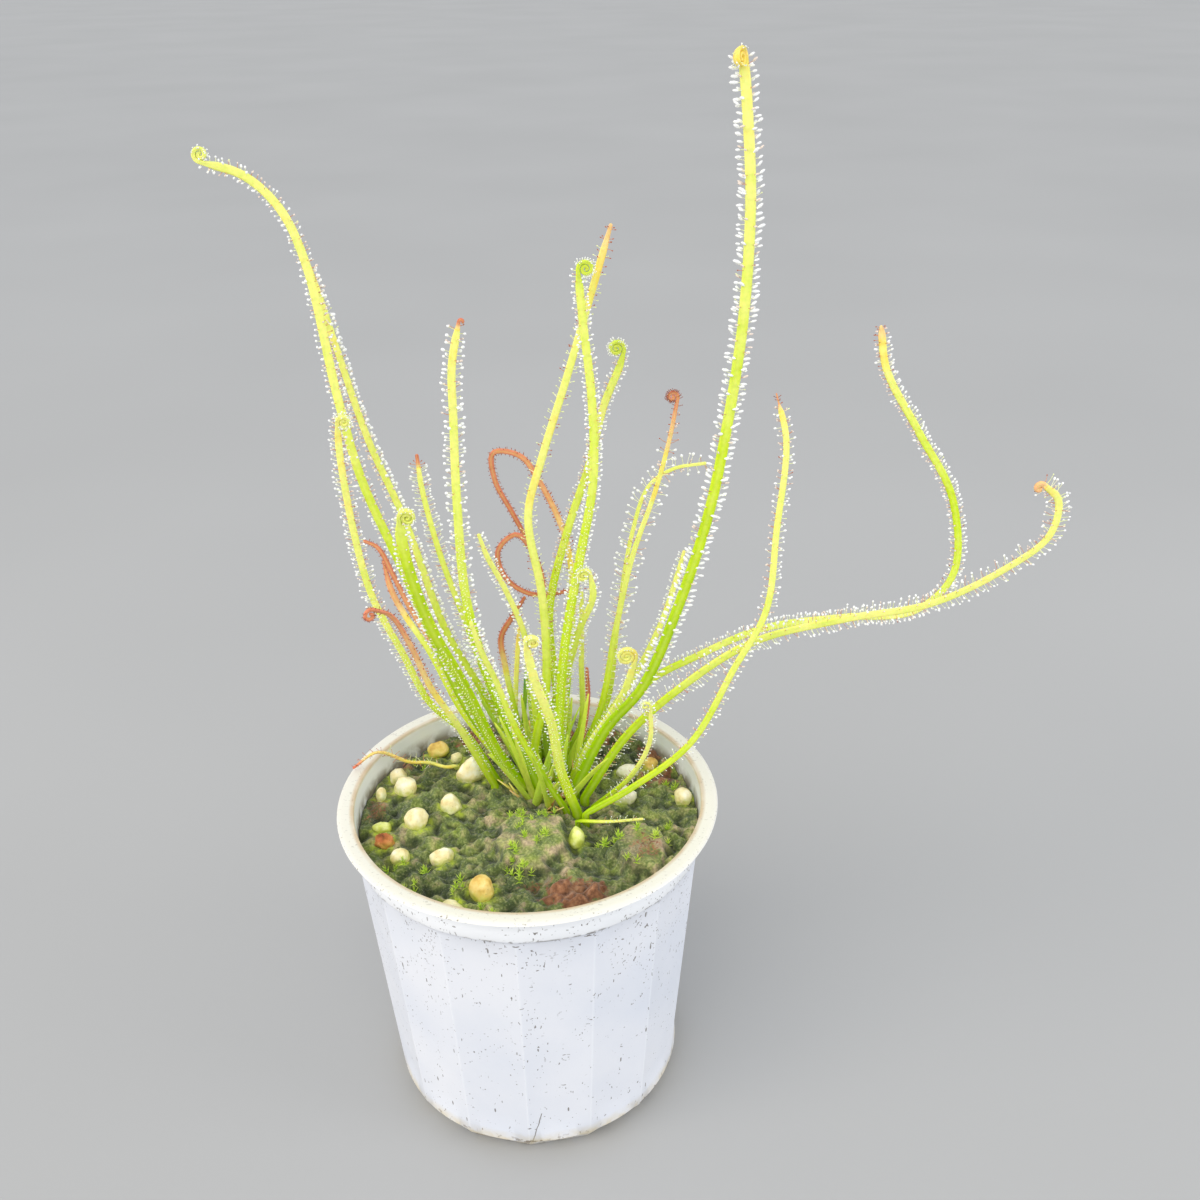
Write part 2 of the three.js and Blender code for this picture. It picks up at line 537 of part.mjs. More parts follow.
function tentacles(line, own, others, seed) {
  const { points, coiled, sections } = line;
  const rolled = points.slice(points.length - coiled);
  const middle = rolled.reduce((sum, p) => sum.add(p), new THREE.Vector3())
    .divideScalar(Math.max(coiled, 1));
  const outward = (centre) => centre.clone().sub(middle).normalize();
  const grown = [];
  tentacleSeats(line, seed).forEach((seat, index) => {
    const direction = tentacleDirection(seat, index, outward);
    const half = seat.onCoil ? TENTACLE_ON_COIL.root : sections[2].side * TENTACLE.rootShare;
    const length = half + TENTACLE.reach;
    const tip = seat.centre.clone().addScaledVector(direction, length);
    if (!hasRoom(tip, own, others)) return;
    const cone = new THREE.CylinderGeometry(TENTACLE.tip, 0, length, TENTACLE.sides);
    cone.translate(0, length / 2, 0);
    cone.applyQuaternion(new THREE.Quaternion()
      .setFromUnitVectors(new THREE.Vector3(0, 1, 0), direction));
    cone.translate(seat.centre.x, seat.centre.y, seat.centre.z);
    grown.push(solidOf(cone));
  });
  return grown;
}

// Points close together along a midline, for measuring distances
function denseLine(points) {
  const dense = [];
  points.slice(1).forEach((point, i) => {
    const pieces = Math.ceil(point.distanceTo(points[i]) / MEASURE_STEP);
    for (let k = 0; k < pieces; k += 1) dense.push(points[i].clone().lerp(point, k / pieces));
  });
  dense.push(points.at(-1));
  return dense;
}

// ---- Assembly -------------------------------------------------------------------------

const plant = new THREE.Group();

function addPiece(name, geometry, color, roughness) {
  const material = new THREE.MeshStandardMaterial({ color, roughness, metalness: 0 });
  const mesh = new THREE.Mesh(geometry, material);
  mesh.name = name;
  plant.add(mesh);
}

const lines = Object.values(LEAVES).map(leafLine);
const dense = lines.map(({ points }) => denseLine(points));
const stones = Object.entries(PEBBLES).map(([name, entry]) => ({ name, entry }));

addPiece('pot', geometryOf(makePot()), 0xe4e9f0, 0.45);
addPiece('soil', geometryOf(makeSoil(lines, stones)), 0x3f4a2a, 0.95);
stones.forEach(({ name, entry }) => {
  addPiece(name, geometryOf(solidOf(pebbleGeometry(entry, 0))), entry[6], 0.7);
});
Object.entries(LEAVES).forEach(([name, leaf], i) => {
  const others = dense.filter((_, k) => k !== i);
  const grown = tentacles(lines[i], dense[i], others, FIRST_SEED + i);
  const solid = wasm.Manifold.union([bladeSolid(lines[i]), ...grown]).simplify(FINEST);
  addPiece(name, geometryOf(solid), leaf.colour, 0.5);
});

export default plant;
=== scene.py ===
"""A sundew in its white plastic nursery pot: the looks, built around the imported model."""

import math
import random

import bpy
import numpy as np
from mathutils import Matrix, Vector, kdtree, noise


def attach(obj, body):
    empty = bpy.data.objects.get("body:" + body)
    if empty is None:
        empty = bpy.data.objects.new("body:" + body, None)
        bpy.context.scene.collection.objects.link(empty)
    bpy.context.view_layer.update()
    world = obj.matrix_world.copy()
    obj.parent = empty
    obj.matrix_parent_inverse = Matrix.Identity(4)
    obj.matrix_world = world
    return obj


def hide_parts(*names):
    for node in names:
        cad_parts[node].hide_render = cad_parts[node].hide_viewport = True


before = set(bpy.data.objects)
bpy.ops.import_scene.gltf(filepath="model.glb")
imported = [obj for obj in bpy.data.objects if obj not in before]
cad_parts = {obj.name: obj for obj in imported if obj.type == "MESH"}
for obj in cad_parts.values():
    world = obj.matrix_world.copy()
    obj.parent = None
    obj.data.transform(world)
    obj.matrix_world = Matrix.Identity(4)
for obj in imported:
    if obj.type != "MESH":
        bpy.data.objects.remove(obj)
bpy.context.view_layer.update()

MM = 0.001

# ---- Sizes in millimetres, as in the model -------------------------------------------

HEIGHT = 81.8
LIP_RADIUS = 45.0
LIP_THICK = 1.1
MOUTH_RADIUS = 41.0
COLLAR_RADIUS = 41.8
COLLAR_LOW = HEIGHT - 8.45
PANELS = 15
PANEL_TURN = -94.0
PANEL_TOP = HEIGHT - 9.0
PANEL_TOP_RADIUS = 41.4
PANEL_FOOT = 4.0
PANEL_FOOT_RADIUS = 36.0
FOOT_RADIUS = 33.6
FLOOR = 2.2
WALL = 1.0
NOTCH_TURNS = (-122, -62, -38, 10, 58, 106, 154, 202)
NOTCH_HALF_WIDTH = 2.1
NOTCH_HEIGHT = 1.6

SOIL_LEVEL = 75.0
SOIL_LOW = 60.0
ROOT_DEPTH = 5.0

# centre x, y, radius, height
MOUNDS = (
    (2, -11, 13, 4.0), (26, -15, 9, 2.4), (-24, 6, 8, 1.2), (-12, -22, 8, 1.0),
    (12, -27, 7, 1.4), (-30, -6, 6, 0.8), (14, 30, 8, -1.4), (-27, 20, 8, -0.8),
)

# x, y, length, depth, height, turn in degrees, finish
PEBBLES = {
    "pebble_orange": (-24, 27.5, 5.2, 4.4, 3.6, 10, "amber"),
    "pebble_cream_back_left": (-18.8, 24.2, 3.2, 2.8, 2.6, 40, "pale"),
    "pebble_white_large": (-14.2, 16.6, 6.8, 5.4, 7.4, 20, "pale"),
    "pebble_cream_left_back": (-33.2, 17.2, 4.4, 3.8, 3.6, 30, "pale"),
    "pebble_cream_left_long": (-30.6, 11.8, 5.4, 5.8, 4.6, 50, "pale"),
    "pebble_cream_left_edge": (-36.4, 9.9, 2.2, 4.2, 3.0, 0, "pale"),
    "pebble_cream_middle_left": (-18.6, 3.4, 4.8, 4.6, 4.2, 25, "pale"),
    "pebble_cream_left_front": (-26.6, -2.6, 5.6, 5.0, 4.6, 35, "pale"),
    "pebble_green_dark": (-35.0, -3.6, 4.2, 3.0, 2.4, 0, "mossy"),
    "lump_red_peat": (-33.6, -9.0, 4.6, 4.0, 3.4, 15, "peat"),
    "pebble_cream_front_left": (-29.8, -14.6, 4.0, 3.6, 3.2, 20, "pale"),
    "pebble_cream_front": (-19.5, -15.2, 5.2, 4.2, 4.0, 10, "pale"),
    "pebble_yellow_front": (-10.0, -27.6, 5.4, 5.2, 5.4, 80, "amber"),
    "pebble_cream_rim": (-16.6, -31.4, 5.6, 2.8, 2.6, -26, "pale"),
    "pebble_mossy": (10.9, -12.6, 3.4, 4.2, 4.2, 5, "mossy"),
    "pebble_cream_right_edge": (37.2, 3.6, 4.2, 4.0, 3.8, 0, "pale"),
    "pebble_white_speckled": (22.6, 5.6, 6.2, 5.0, 4.8, -20, "speckled"),
    "pebble_speckled_back": (24.4, 15.4, 5.2, 3.6, 3.2, 10, "speckled"),
    "pebble_tan_right": (30.4, 17.2, 3.8, 3.4, 3.2, 0, "amber"),
    "pebble_tan_back": (0.6, 37.0, 4.2, 3.4, 3.2, 0, "amber"),
}
PEBBLE_SUNK = 0.3

UP, DOWN = (0, 0, 1), (0, 0, -1)
LEFT, RIGHT, LEFT_FRONT = (-1, 0, 0), (1, 0, 0), (-0.55, -0.83, 0)

# Ages along a leaf, as (share of the length, age): 0 fresh green to 1 dead and dark
FRESH = ((0, 0.16), (0.15, 0.28), (0.3, 0.38), (0.5, 0.45), (1, 0.5))
GREEN = ((0, 0.14), (0.3, 0.28), (0.6, 0.4), (1, 0.47))
BRIGHT = ((0, 0.2), (0.15, 0.34), (0.4, 0.44), (1, 0.5))
ROLLED_GREEN = ((0, 0.18), (0.15, 0.28), (0.4, 0.36), (0.7, 0.42), (0.9, 0.47), (1, 0.38))
SLOW = ((0, 0.15), (0.3, 0.25), (0.5, 0.35), (0.7, 0.43), (0.85, 0.48), (0.985, 0.5), (1, 0.54))
LONGEST_AGES = ((0, 0.15), (0.3, 0.28), (0.5, 0.4), (0.7, 0.48), (0.95, 0.5), (1, 0.48))
WIDE_COIL_AGES = ((0, 0.2), (0.5, 0.24), (0.8, 0.28), (0.9, 0.34), (0.95, 0.42), (1, 0.46))
BROWN_TIP_AGES = ((0, 0.16), (0.3, 0.26), (0.6, 0.42), (0.967, 0.48), (0.982, 0.72), (1, 0.84))
UPRIGHT_AGES = ((0, 0.15), (0.3, 0.24), (0.5, 0.41), (0.9, 0.5), (0.988, 0.52), (0.995, 0.74),
                (1, 0.84))
RED_HOOK_AGES = ((0, 0.24), (0.3, 0.42), (0.55, 0.56), (0.75, 0.68), (1, 0.78))
CROSSING_AGES = ((0, 0.26), (0.3, 0.42), (0.5, 0.49), (0.8, 0.5), (0.93, 0.53), (1, 0.62))
LOOP_AGES = ((0, 0.2), (0.3, 0.36), (0.45, 0.48), (0.58, 0.66), (0.75, 0.76), (1, 0.84))
BROWN_TOP_AGES = ((0, 0.2), (0.45, 0.42), (0.62, 0.6), (0.76, 0.8), (1, 0.88))
RED_COIL_AGES = ((0, 0.18), (0.3, 0.38), (0.6, 0.48), (0.86, 0.52), (0.93, 0.66), (1, 0.74))
CURVED_AGES = ((0, 0.2), (0.15, 0.33), (0.4, 0.43), (0.97, 0.5), (0.982, 0.72), (1, 0.8))
FAR_HOOK_AGES = ((0, 0.2), (0.3, 0.43), (0.55, 0.49), (0.7, 0.34), (0.8, 0.38), (0.93, 0.48),
                 (0.975, 0.52), (1, 0.6))
ARCHING_AGES = ((0, 0.18), (0.3, 0.41), (0.6, 0.48), (0.995, 0.5), (1, 0.66))
DEAD_THREAD_AGES = ((0, 0.5), (0.5, 0.66), (1, 0.84))
YELLOW_AGES = ((0, 0.32), (0.6, 0.4), (0.8, 0.64), (1, 0.8))
OVER_RIM_AGES = ((0, 0.5), (0.3, 0.52), (0.6, 0.57), (0.9, 0.62), (1, 0.84))
BROWN_CURL_AGES = ((0, 0.3), (0.3, 0.5), (0.45, 0.74), (1, 0.86))
LEFT_SHORT_AGES = ((0, 0.4), (1, 0.54))
BLUE_GREEN_AGES = ((0, 0.08), (1, 0.02))
DEAD_SCRAP_AGES = ((0, 0.8), (1, 0.92))

# width at the foot and near the tip, coil (radius, turns, side), ages, route
LEAVES = {
    "leaf_left_longest": ((2.3, 1.7), (1.4, 1, UP), LONGEST_AGES, (
        (-3, 13.5, 77), (-13.5, 12.5, 97), (-21, 12, 119), (-26.5, 11.5, 137.5),
        (-33, 11, 158.5), (-36, 10, 178), (-39, 9, 205.5), (-42.5, 8.5, 216),
        (-48.5, 8.5, 222.3), (-56.4, 8, 225.1))),
    "leaf_left_second": ((2.0, 1.4), None, BRIGHT, (
        (-0.5, 18.5, 75.5), (-11.5, 18, 101.5), (-18, 18, 116), (-25.5, 17, 146.5),
        (-31.5, 17, 165), (-36, 16.5, 185.5), (-39.5, 16, 203))),
    "leaf_left_hooked": ((1.9, 1.5), (1.3, 0.9, RIGHT), FRESH, (
        (-7.5, 14, 74.5), (-14.5, 11.5, 91), (-22.5, 9.5, 102), (-27.5, 7, 117.5),
        (-32.5, 5, 133), (-34.5, 2.5, 150), (-35, -0.5, 168.5), (-34.5, -2, 176.5))),
    "leaf_left_wide_coil": ((2.9, 2.5), (1.7, 1, RIGHT), WIDE_COIL_AGES, (
        (0, 9, 75), (-6, 6.5, 86.5), (-13.5, 1.5, 111.5), (-19.5, -2.5, 129.5),
        (-23, -6.5, 148.5), (-23.3, -8, 157.8))),
    "leaf_left_brown_tip": ((1.8, 1.2), None, BROWN_TIP_AGES, (
        (0.5, 16, 76), (-7.5, 16, 98), (-13.5, 17, 120), (-18, 17.5, 136.5),
        (-21, 18, 153), (-21.5, 18, 161))),
    "leaf_left_upright": ((2.6, 1.6), (0.5, 0.5, RIGHT), UPRIGHT_AGES, (
        (3, 7, 76.5), (-3.5, 7, 95.5), (-8.5, 7, 111.5), (-12, 7, 130.5),
        (-12.5, 6.5, 154.5), (-12, 6.5, 173.5), (-11.5, 6, 185), (-9.5, 6, 194))),
    "leaf_left_red_hook": ((2.0, 1.1), (1.4, 1, DOWN), RED_HOOK_AGES, (
        (-8.5, 10.5, 76.5), (-12, 6.5, 88), (-16, 2, 101), (-20.5, -2.5, 113.5),
        (-23.5, -8, 128), (-26.5, -12, 137.5), (-29.6, -14, 140))),
    "leaf_left_dead_thread": ((1.4, 1.2), None, DEAD_THREAD_AGES, (
        (-5.5, 20, 74.5), (-13, 22.5, 92.5), (-23, 25.5, 110), (-27.5, 27, 118.5),
        (-31, 28.5, 127), (-34, 29.5, 133.5), (-37, 30, 135))),
    "leaf_left_yellow": ((1.8, 1.5), None, YELLOW_AGES, (
        (-9.5, 26, 76), (-17, 29, 87), (-24.5, 33.5, 102.5), (-30, 36.5, 111),
        (-33, 38, 117.5), (-34.5, 40, 124.5))),
    "leaf_left_over_rim": ((1.4, 1.1), None, OVER_RIM_AGES, (
        (-18.5, 20, 76), (-21, 17.5, 77.5), (-25, 17.5, 79), (-29.5, 16, 80.5),
        (-37, 13.5, 85.5), (-42.5, 11, 83))),
    "leaf_front_bent_left": ((1.7, 1.2), None, GREEN, (
        (9, -1, 76.5), (3, -3, 90.5), (-2.5, -5.5, 105.5), (-5.5, -7, 117),
        (-8.5, -9, 127), (-10, -10, 134))),
    "leaf_middle_crossing": ((2.2, 1.5), None, CROSSING_AGES, (
        (1, 12.5, 77), (2, 13, 87.5), (5, 13, 102), (5, 13.5, 126.5), (2.5, 14, 147.5),
        (6, 14, 161), (12, 14, 179.5), (18, 14, 199), (21.5, 14, 210.5))),
    "leaf_middle_tall_coil": ((2.4, 1.7), (1.6, 1, RIGHT), ROLLED_GREEN, (
        (7.5, 8, 76), (8, 8.5, 96.5), (10, 9, 118), (13.5, 9.5, 137.5), (17, 9.5, 157.5),
        (17, 10, 175.5), (15.5, 10, 191.5), (14.6, 10, 202.8))),
    "leaf_middle_round_coil": ((2.1, 1.7), (1.7, 1, LEFT), ROLLED_GREEN, (
        (9, 16, 76.5), (7.5, 19, 98.5), (6.5, 18.5, 121), (11.5, 19, 142),
        (16.5, 19.5, 157), (20, 19.5, 171), (23.5, 20, 179.5), (24.5, 20, 183))),
    "leaf_middle_orange_loop": ((1.6, 1.2), None, LOOP_AGES, (
        (9.5, 24.5, 73), (10, 24.5, 92), (12, 24.5, 115), (11, 24.5, 136),
        (5, 25, 151.5), (1, 25, 157.5), (-5, 25, 158.5), (-5, 25.5, 151.5),
        (-1.5, 25.5, 143.5), (2, 26, 135.5))),
    "leaf_middle_brown_curl": ((1.4, 1.2), None, BROWN_CURL_AGES, (
        (4, 24.5, 73.5), (4.5, 23.5, 95.5), (5.5, 22.5, 119), (4, 22, 132),
        (-0.5, 21.5, 139.5), (-5, 21.5, 135.5), (-3.5, 21, 128.5), (2.5, 21, 124),
        (11.5, 21, 124.5))),
    "leaf_middle_left_lean": ((1.7, 1.2), None, FRESH, (
        (2.5, 17.5, 75), (2, 15.5, 98), (0.5, 13.5, 117), (-3.5, 12, 130.5),
        (-7, 10.5, 139.5), (-8.5, 10, 145))),
    "leaf_middle_brown_top": ((1.7, 1.3), None, BROWN_TOP_AGES, (
        (0, 21.5, 74.5), (-3, 22.5, 90), (-5, 23.5, 103.5), (-5.5, 24, 111),
        (-2, 24.5, 117), (0.5, 25, 121))),
    "leaf_front_coil": ((2.4, 1.9), (1.55, 1, RIGHT), BRIGHT, (
        (11.5, -3, 77.5), (8, -5.5, 91.5), (6, -8.5, 107.5), (3, -11, 119.5),
        (1.3, -13, 130.2))),
    "leaf_middle_small_coil": ((1.8, 1.6), (1.6, 1, LEFT), GREEN, (
        (2.5, 23, 75), (4.5, 18, 89), (10, 13.5, 106.5), (13.5, 11, 120),
        (16.5, 8.5, 129.5), (16, 8, 135.3))),
    "leaf_back_straight": ((1.6, 1.2), None, BRIGHT, (
        (10, 27, 74.5), (13.5, 27, 83), (14, 28.5, 100.5), (14.5, 30, 119.5))),
    "leaf_back_left_short": ((1.4, 1.2), None, LEFT_SHORT_AGES, (
        (-4, 28, 74.5), (-3, 31, 90.5), (-1.5, 34, 107.5))),
    "leaf_back_blue_green": ((1.2, 1.0), None, BLUE_GREEN_AGES, (
        (-2, 30, 74.5), (-1, 32, 84.5), (0, 34, 96.5))),
    "leaf_middle_short": ((1.7, 1.3), None, GREEN, (
        (9.5, 21, 75), (9.5, 21.5, 89.5), (9.5, 21.5, 100.5))),
    "leaf_back_dead_scrap": ((1.2, 1.2), None, DEAD_SCRAP_AGES, (
        (13.5, 27.5, 74.5), (15.5, 31.5, 87), (15.5, 34, 95))),
    "leaf_right_red_coil": ((1.9, 0.9), (1.2, 1, LEFT), RED_COIL_AGES, (
        (11, 18, 75), (18, 17.5, 92.5), (22, 16.5, 116), (26, 15.5, 136),
        (31, 15, 152), (34, 14.5, 164.5), (35.6, 14, 174.1))),
    "leaf_right_level_tip": ((1.6, 0.8), None, FRESH, (
        (12.5, 23, 74.5), (20, 24, 90.5), (23, 24.5, 114), (26.5, 25, 137),
        (30.5, 25.5, 149), (36, 25.5, 153), (43.5, 26, 154))),
    "leaf_right_low_coil": ((2.0, 1.8), (2.3, 1, LEFT), BRIGHT, (
        (9.5, 10.5, 75), (15.5, 9.5, 89), (23, 9, 102), (26.3, 8, 113.1))),
    "leaf_right_tallest": ((2.7, 2.1), (1.7, 1, LEFT_FRONT), SLOW, (
        (11, 6.5, 77), (19, 6, 95), (27.5, 5.5, 106.5), (35.5, 6.5, 126.5),
        (42, 7, 149.5), (45.5, 7.5, 170), (48, 7.5, 193), (48.5, 8, 216), (47, 8, 234),
        (46, 8, 241.7))),
    "leaf_right_plain": ((1.9, 1.3), None, BRIGHT, (
        (11, 20.5, 74.5), (18, 21, 86), (26.5, 22.5, 98.5), (33.5, 24, 113),
        (37.5, 25.5, 125.5), (39, 26, 131.5))),
    "leaf_right_curved": ((1.8, 1.3), None, CURVED_AGES, (
        (13.5, -5.5, 79), (25.5, -5, 86.5), (38, -4, 97), (47.5, -3.5, 116.5),
        (54, -3, 130.5), (55.5, -2, 149.5), (56.5, -1.5, 169.5), (54, -1, 179.5))),
    "leaf_right_far_hook": ((2.0, 1.7), None, FAR_HOOK_AGES, (
        (11, 13, 76), (21, 14.5, 91), (30, 15.5, 102), (41.5, 16.5, 108),
        (57.5, 17.5, 114.5), (77, 19, 116), (94.5, 20, 116.5), (103, 20.5, 125.5),
        (101, 21.5, 145), (91.5, 22.5, 161.5), (83, 23.5, 176), (81, 24, 185.5))),
    "leaf_right_arching": ((2.3, 1.6), (1.1, 0.8, DOWN), ARCHING_AGES, (
        (13.5, 3.5, 77), (23.5, 2.5, 95), (36, 1, 109), (52, 0, 121), (72, -1.5, 127),
        (90.5, -3, 131), (105.5, -4, 139.5), (113.5, -5, 147.5), (114, -5.5, 156),
        (110, -6, 160))),
    "leaf_right_tiny_coil": ((1.4, 1.0), (1.1, 0.9, LEFT), FRESH, (
        (15.5, 1.5, 75.5), (24, -1.5, 86), (28.5, -4, 97.5), (28.5, -6, 108.9))),
    "leaf_front_low": ((1.3, 1.0), None, BRIGHT, (
        (11.5, -7.5, 78.5), (18.5, -9.5, 79.5), (26.5, -9, 79.5))),
}

LEAF_SLOTS = {
    "leaf_green": ("leaf_left_hooked", "leaf_left_wide_coil", "leaf_left_upright",
                   "leaf_front_bent_left", "leaf_middle_crossing", "leaf_middle_left_lean",
                   "leaf_front_coil", "leaf_back_straight", "leaf_back_blue_green",
                   "leaf_middle_short", "leaf_right_level_tip", "leaf_right_low_coil",
                   "leaf_right_plain", "leaf_right_tiny_coil"),
    "leaf_fading": ("leaf_left_red_hook", "leaf_left_yellow", "leaf_middle_orange_loop",
                    "leaf_middle_brown_top"),
    "leaf_dead": ("leaf_left_dead_thread", "leaf_left_over_rim", "leaf_middle_brown_curl",
                  "leaf_back_dead_scrap"),
}
PEBBLE_SLOTS = {"pale": "pebble_pale", "amber": "pebble_amber", "mossy": "pebble_mossy",
                "speckled": "pebble_speckled", "peat": "peat"}

# ---- Small helpers -------------------------------------------------------------------


def nothing_selected():
    if bpy.context.object and bpy.context.object.mode != "OBJECT":
        bpy.ops.object.mode_set(mode="OBJECT")
    bpy.ops.object.select_all(action="DESELECT")


def shaped(primitive, **settings):
    """The object that a primitive operator adds, alone selected and active."""
    nothing_selected()
    primitive(**settings)
    return bpy.context.object


def apply_place():
    """Takes the active object's place, turn and size up into its mesh."""
    bpy.ops.object.transform_apply(location=True, rotation=True, scale=True)


def edit_all():
    bpy.ops.object.mode_set(mode="EDIT")
    bpy.ops.mesh.select_all(action="SELECT")


def draw_up(rise, scale):
    """Extrudes what is selected and scales its end about the upright axis."""
    bpy.ops.mesh.extrude_region_move(TRANSFORM_OT_translate={"value": (0, 0, rise)})
    bpy.ops.transform.resize(value=(scale, scale, 1), center_override=(0, 0, 0))


def close_outward():
    """Turns all faces outward and leaves edit mode."""
    bpy.ops.mesh.select_all(action="SELECT")
    bpy.ops.mesh.normals_make_consistent(inside=False)
    bpy.ops.object.mode_set(mode="OBJECT")


def taken_out(shape):
    """Points and triangles of a small shape, for copying; the shape itself is removed."""
    edit_all()
    bpy.ops.mesh.quads_convert_to_tris()
    bpy.ops.object.mode_set(mode="OBJECT")
    points = np.array([v.co for v in shape.data.vertices])
    faces = np.array([tuple(p.vertices) for p in shape.data.polygons])
    bpy.data.objects.remove(shape)
    return points, faces


def modelled(primitive, **settings):
    """Points and triangles of a small shape that a primitive operator adds."""
    shape = shaped(primitive, **settings)
    apply_place()
    return taken_out(shape)


def copies(shape, places, axes, scales, bends=None):
    """One shape at many places, along each copy's own three axes."""
    points, faces = shape
    moved = places[:, None] + np.einsum("pk,nk,nkc->npc", points, scales, axes)
    if bends is not None:
        moved += np.einsum("p,n,nc->npc", points[:, 2] ** 2, bends, axes[:, 1])
    numbered = faces + (np.arange(len(places)) * len(points))[:, None, None]
    return moved.reshape(-1, 3), numbered.reshape(-1, 3)


def dressed(piece, name, slot, nodes, *finishes):
    """Names a piece, gives it its finishes, hangs it on the root body, and hides the model's parts
    that it stands for.
    """
    piece.name = name
    piece.data.name = name
    for finish in finishes:
        piece.data.materials.append(finish)
    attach(piece, "root")
    if nodes:
        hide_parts(*nodes)


def mesh_from(name, points, faces, finish_of_face=None, smooth=True):
    """A mesh object of equal-sided faces, from arrays in millimetres."""
    faces = np.asarray(faces, np.int32)
    count, sides = faces.shape
    mesh = bpy.data.meshes.new(name)
    mesh.vertices.add(len(points))
    mesh.vertices.foreach_set("co", (np.asarray(points, np.float32) * MM).ravel())
    mesh.loops.add(count * sides)
    mesh.loops.foreach_set("vertex_index", faces.ravel())
    mesh.polygons.add(count)
    mesh.polygons.foreach_set("loop_start", np.arange(count, dtype=np.int32) * sides)
    mesh.polygons.foreach_set("use_smooth", np.full(count, smooth))
    if finish_of_face is not None:
        mesh.polygons.foreach_set("material_index", np.asarray(finish_of_face, np.int32))
    mesh.update(calc_edges=True)
    piece = bpy.data.objects.new(name, mesh)
    bpy.context.scene.collection.objects.link(piece)
    return piece


def point_values(piece, name, values):
    layer = piece.data.attributes.new(name, "FLOAT", "POINT")
    layer.data.foreach_set("value", np.asarray(values, np.float32))


def rough(x, y, z, size):
    return noise.noise(Vector((x / size, y / size, z / size)))


def layered(x, y, layers):
    """Layers of noise, each (height, seed, size across), added up."""
    return sum(height * rough(x, y, seed, size) for height, seed, size in layers)


def smoothstep(low, high, value):
    share = min(max((value - low) / (high - low), 0.0), 1.0)
    return share * share * (3 - 2 * share)


# ---- Finishes ------------------------------------------------------------------------


class Finish:
    """A procedural material with short calls for its nodes. Lengths are in metres."""

    def __init__(self, name, roughness, specular=0.5):
        self.material = bpy.data.materials.new(name)
        self.material.use_nodes = True
        self.tree = self.material.node_tree
        self.shader = self.tree.nodes["Principled BSDF"]
        self.place = self.node("ShaderNodeTexCoord").outputs["Object"]
        self.set("Roughness", roughness)
        self.set("Specular IOR Level", specular)

    def set(self, key, value):
        self.shader.inputs[key].default_value = value

    def node(self, kind, **settings):
        made = self.tree.nodes.new(kind)
        for key, value in settings.items():
            setattr(made, key, value)
        return made

    def join(self, source, target):
        self.tree.links.new(source, target)

    def stretched(self, scale, turn=(0, 0, 0)):
        mapping = self.node("ShaderNodeMapping")
        mapping.inputs["Scale"].default_value = scale
        mapping.inputs["Rotation"].default_value = [math.radians(a) for a in turn]
        self.join(self.place, mapping.inputs["Vector"])
        return mapping.outputs["Vector"]

    def grain(self, size, detail, place=None):
        """Noise whose features are about this size."""
        made = self.node("ShaderNodeTexNoise")
        made.inputs["Scale"].default_value = 1 / size
        made.inputs["Detail"].default_value = detail
        self.join(place or self.place, made.inputs["Vector"])
        return made.outputs["Fac"]

    def cells(self, size, place=None):
        """Distance to the middle of the nearest cell, against the cells' size."""
        made = self.node("ShaderNodeTexVoronoi")
        made.inputs["Scale"].default_value = 1 / size
        self.join(place or self.place, made.inputs["Vector"])
        return made.outputs["Distance"]

    def attribute(self, name):
        return self.node("ShaderNodeAttribute", attribute_name=name).outputs["Fac"]

    def coordinates(self):
        split = self.node("ShaderNodeSeparateXYZ")
        self.join(self.place, split.inputs["Vector"])
        return split.outputs

    def radius(self):
        """Distance from the pot's axis."""
        level = self.stretched((1, 1, 0))
        made = self.node("ShaderNodeVectorMath", operation="LENGTH")
        self.join(level, made.inputs[0])
        return made.outputs["Value"]

    def span(self, value, low, high, out_low=0.0, out_high=1.0):
        made = self.node("ShaderNodeMapRange")
        for key, number in (("From Min", low), ("From Max", high),
                            ("To Min", out_low), ("To Max", out_high)):
            made.inputs[key].default_value = number
        self.join(value, made.inputs["Value"])
        return made.outputs["Result"]

    def worked(self, kind, a, b):
        made = self.node("ShaderNodeMath", operation=kind)
        for socket, value in zip(made.inputs, (a, b)):
            if isinstance(value, (int, float)):
                socket.default_value = value
            else:
                self.join(value, socket)
        return made.outputs["Value"]

    def plus(self, a, b):
        return self.worked("ADD", a, b)

    def minus(self, a, b):
        return self.worked("SUBTRACT", a, b)

    def times(self, a, b):
        return self.worked("MULTIPLY", a, b)

    def larger(self, a, b):
        return self.worked("MAXIMUM", a, b)

    def below(self, a, b):
        return self.worked("LESS_THAN", a, b)

    def unsigned(self, value):
        return self.worked("ABSOLUTE", value, 0)

    def ramp(self, value, *stops):
        made = self.node("ShaderNodeValToRGB")
        points = made.color_ramp.elements
        while len(points) < len(stops):
            points.new(0.5)
        for point, (place, colour) in zip(points, stops):
            point.position = place
            point.color = (*linear(colour), 1)
        self.join(value, made.inputs["Fac"])
        return made.outputs["Color"]

    def mixed(self, share, first, second, kind="MIX"):
        made = self.node("ShaderNodeMix", data_type="RGBA", blend_type=kind)
        self.join(share, made.inputs["Factor"])
        for key, colour in ((6, first), (7, second)):
            if isinstance(colour, tuple):
                made.inputs[key].default_value = (*linear(colour), 1)
            else:
                self.join(colour, made.inputs[key])
        return made.outputs[2]

    def coloured(self, colour):
        self.join(colour, self.shader.inputs["Base Color"])

    def roughened(self, value):
        self.join(value, self.shader.inputs["Roughness"])

    def bumped(self, value, depth, strength):
        made = self.node("ShaderNodeBump")
        made.inputs["Distance"].default_value = depth
        made.inputs["Strength"].default_value = strength
        self.join(value, made.inputs["Height"])
        self.join(made.outputs["Normal"], self.shader.inputs["Normal"])


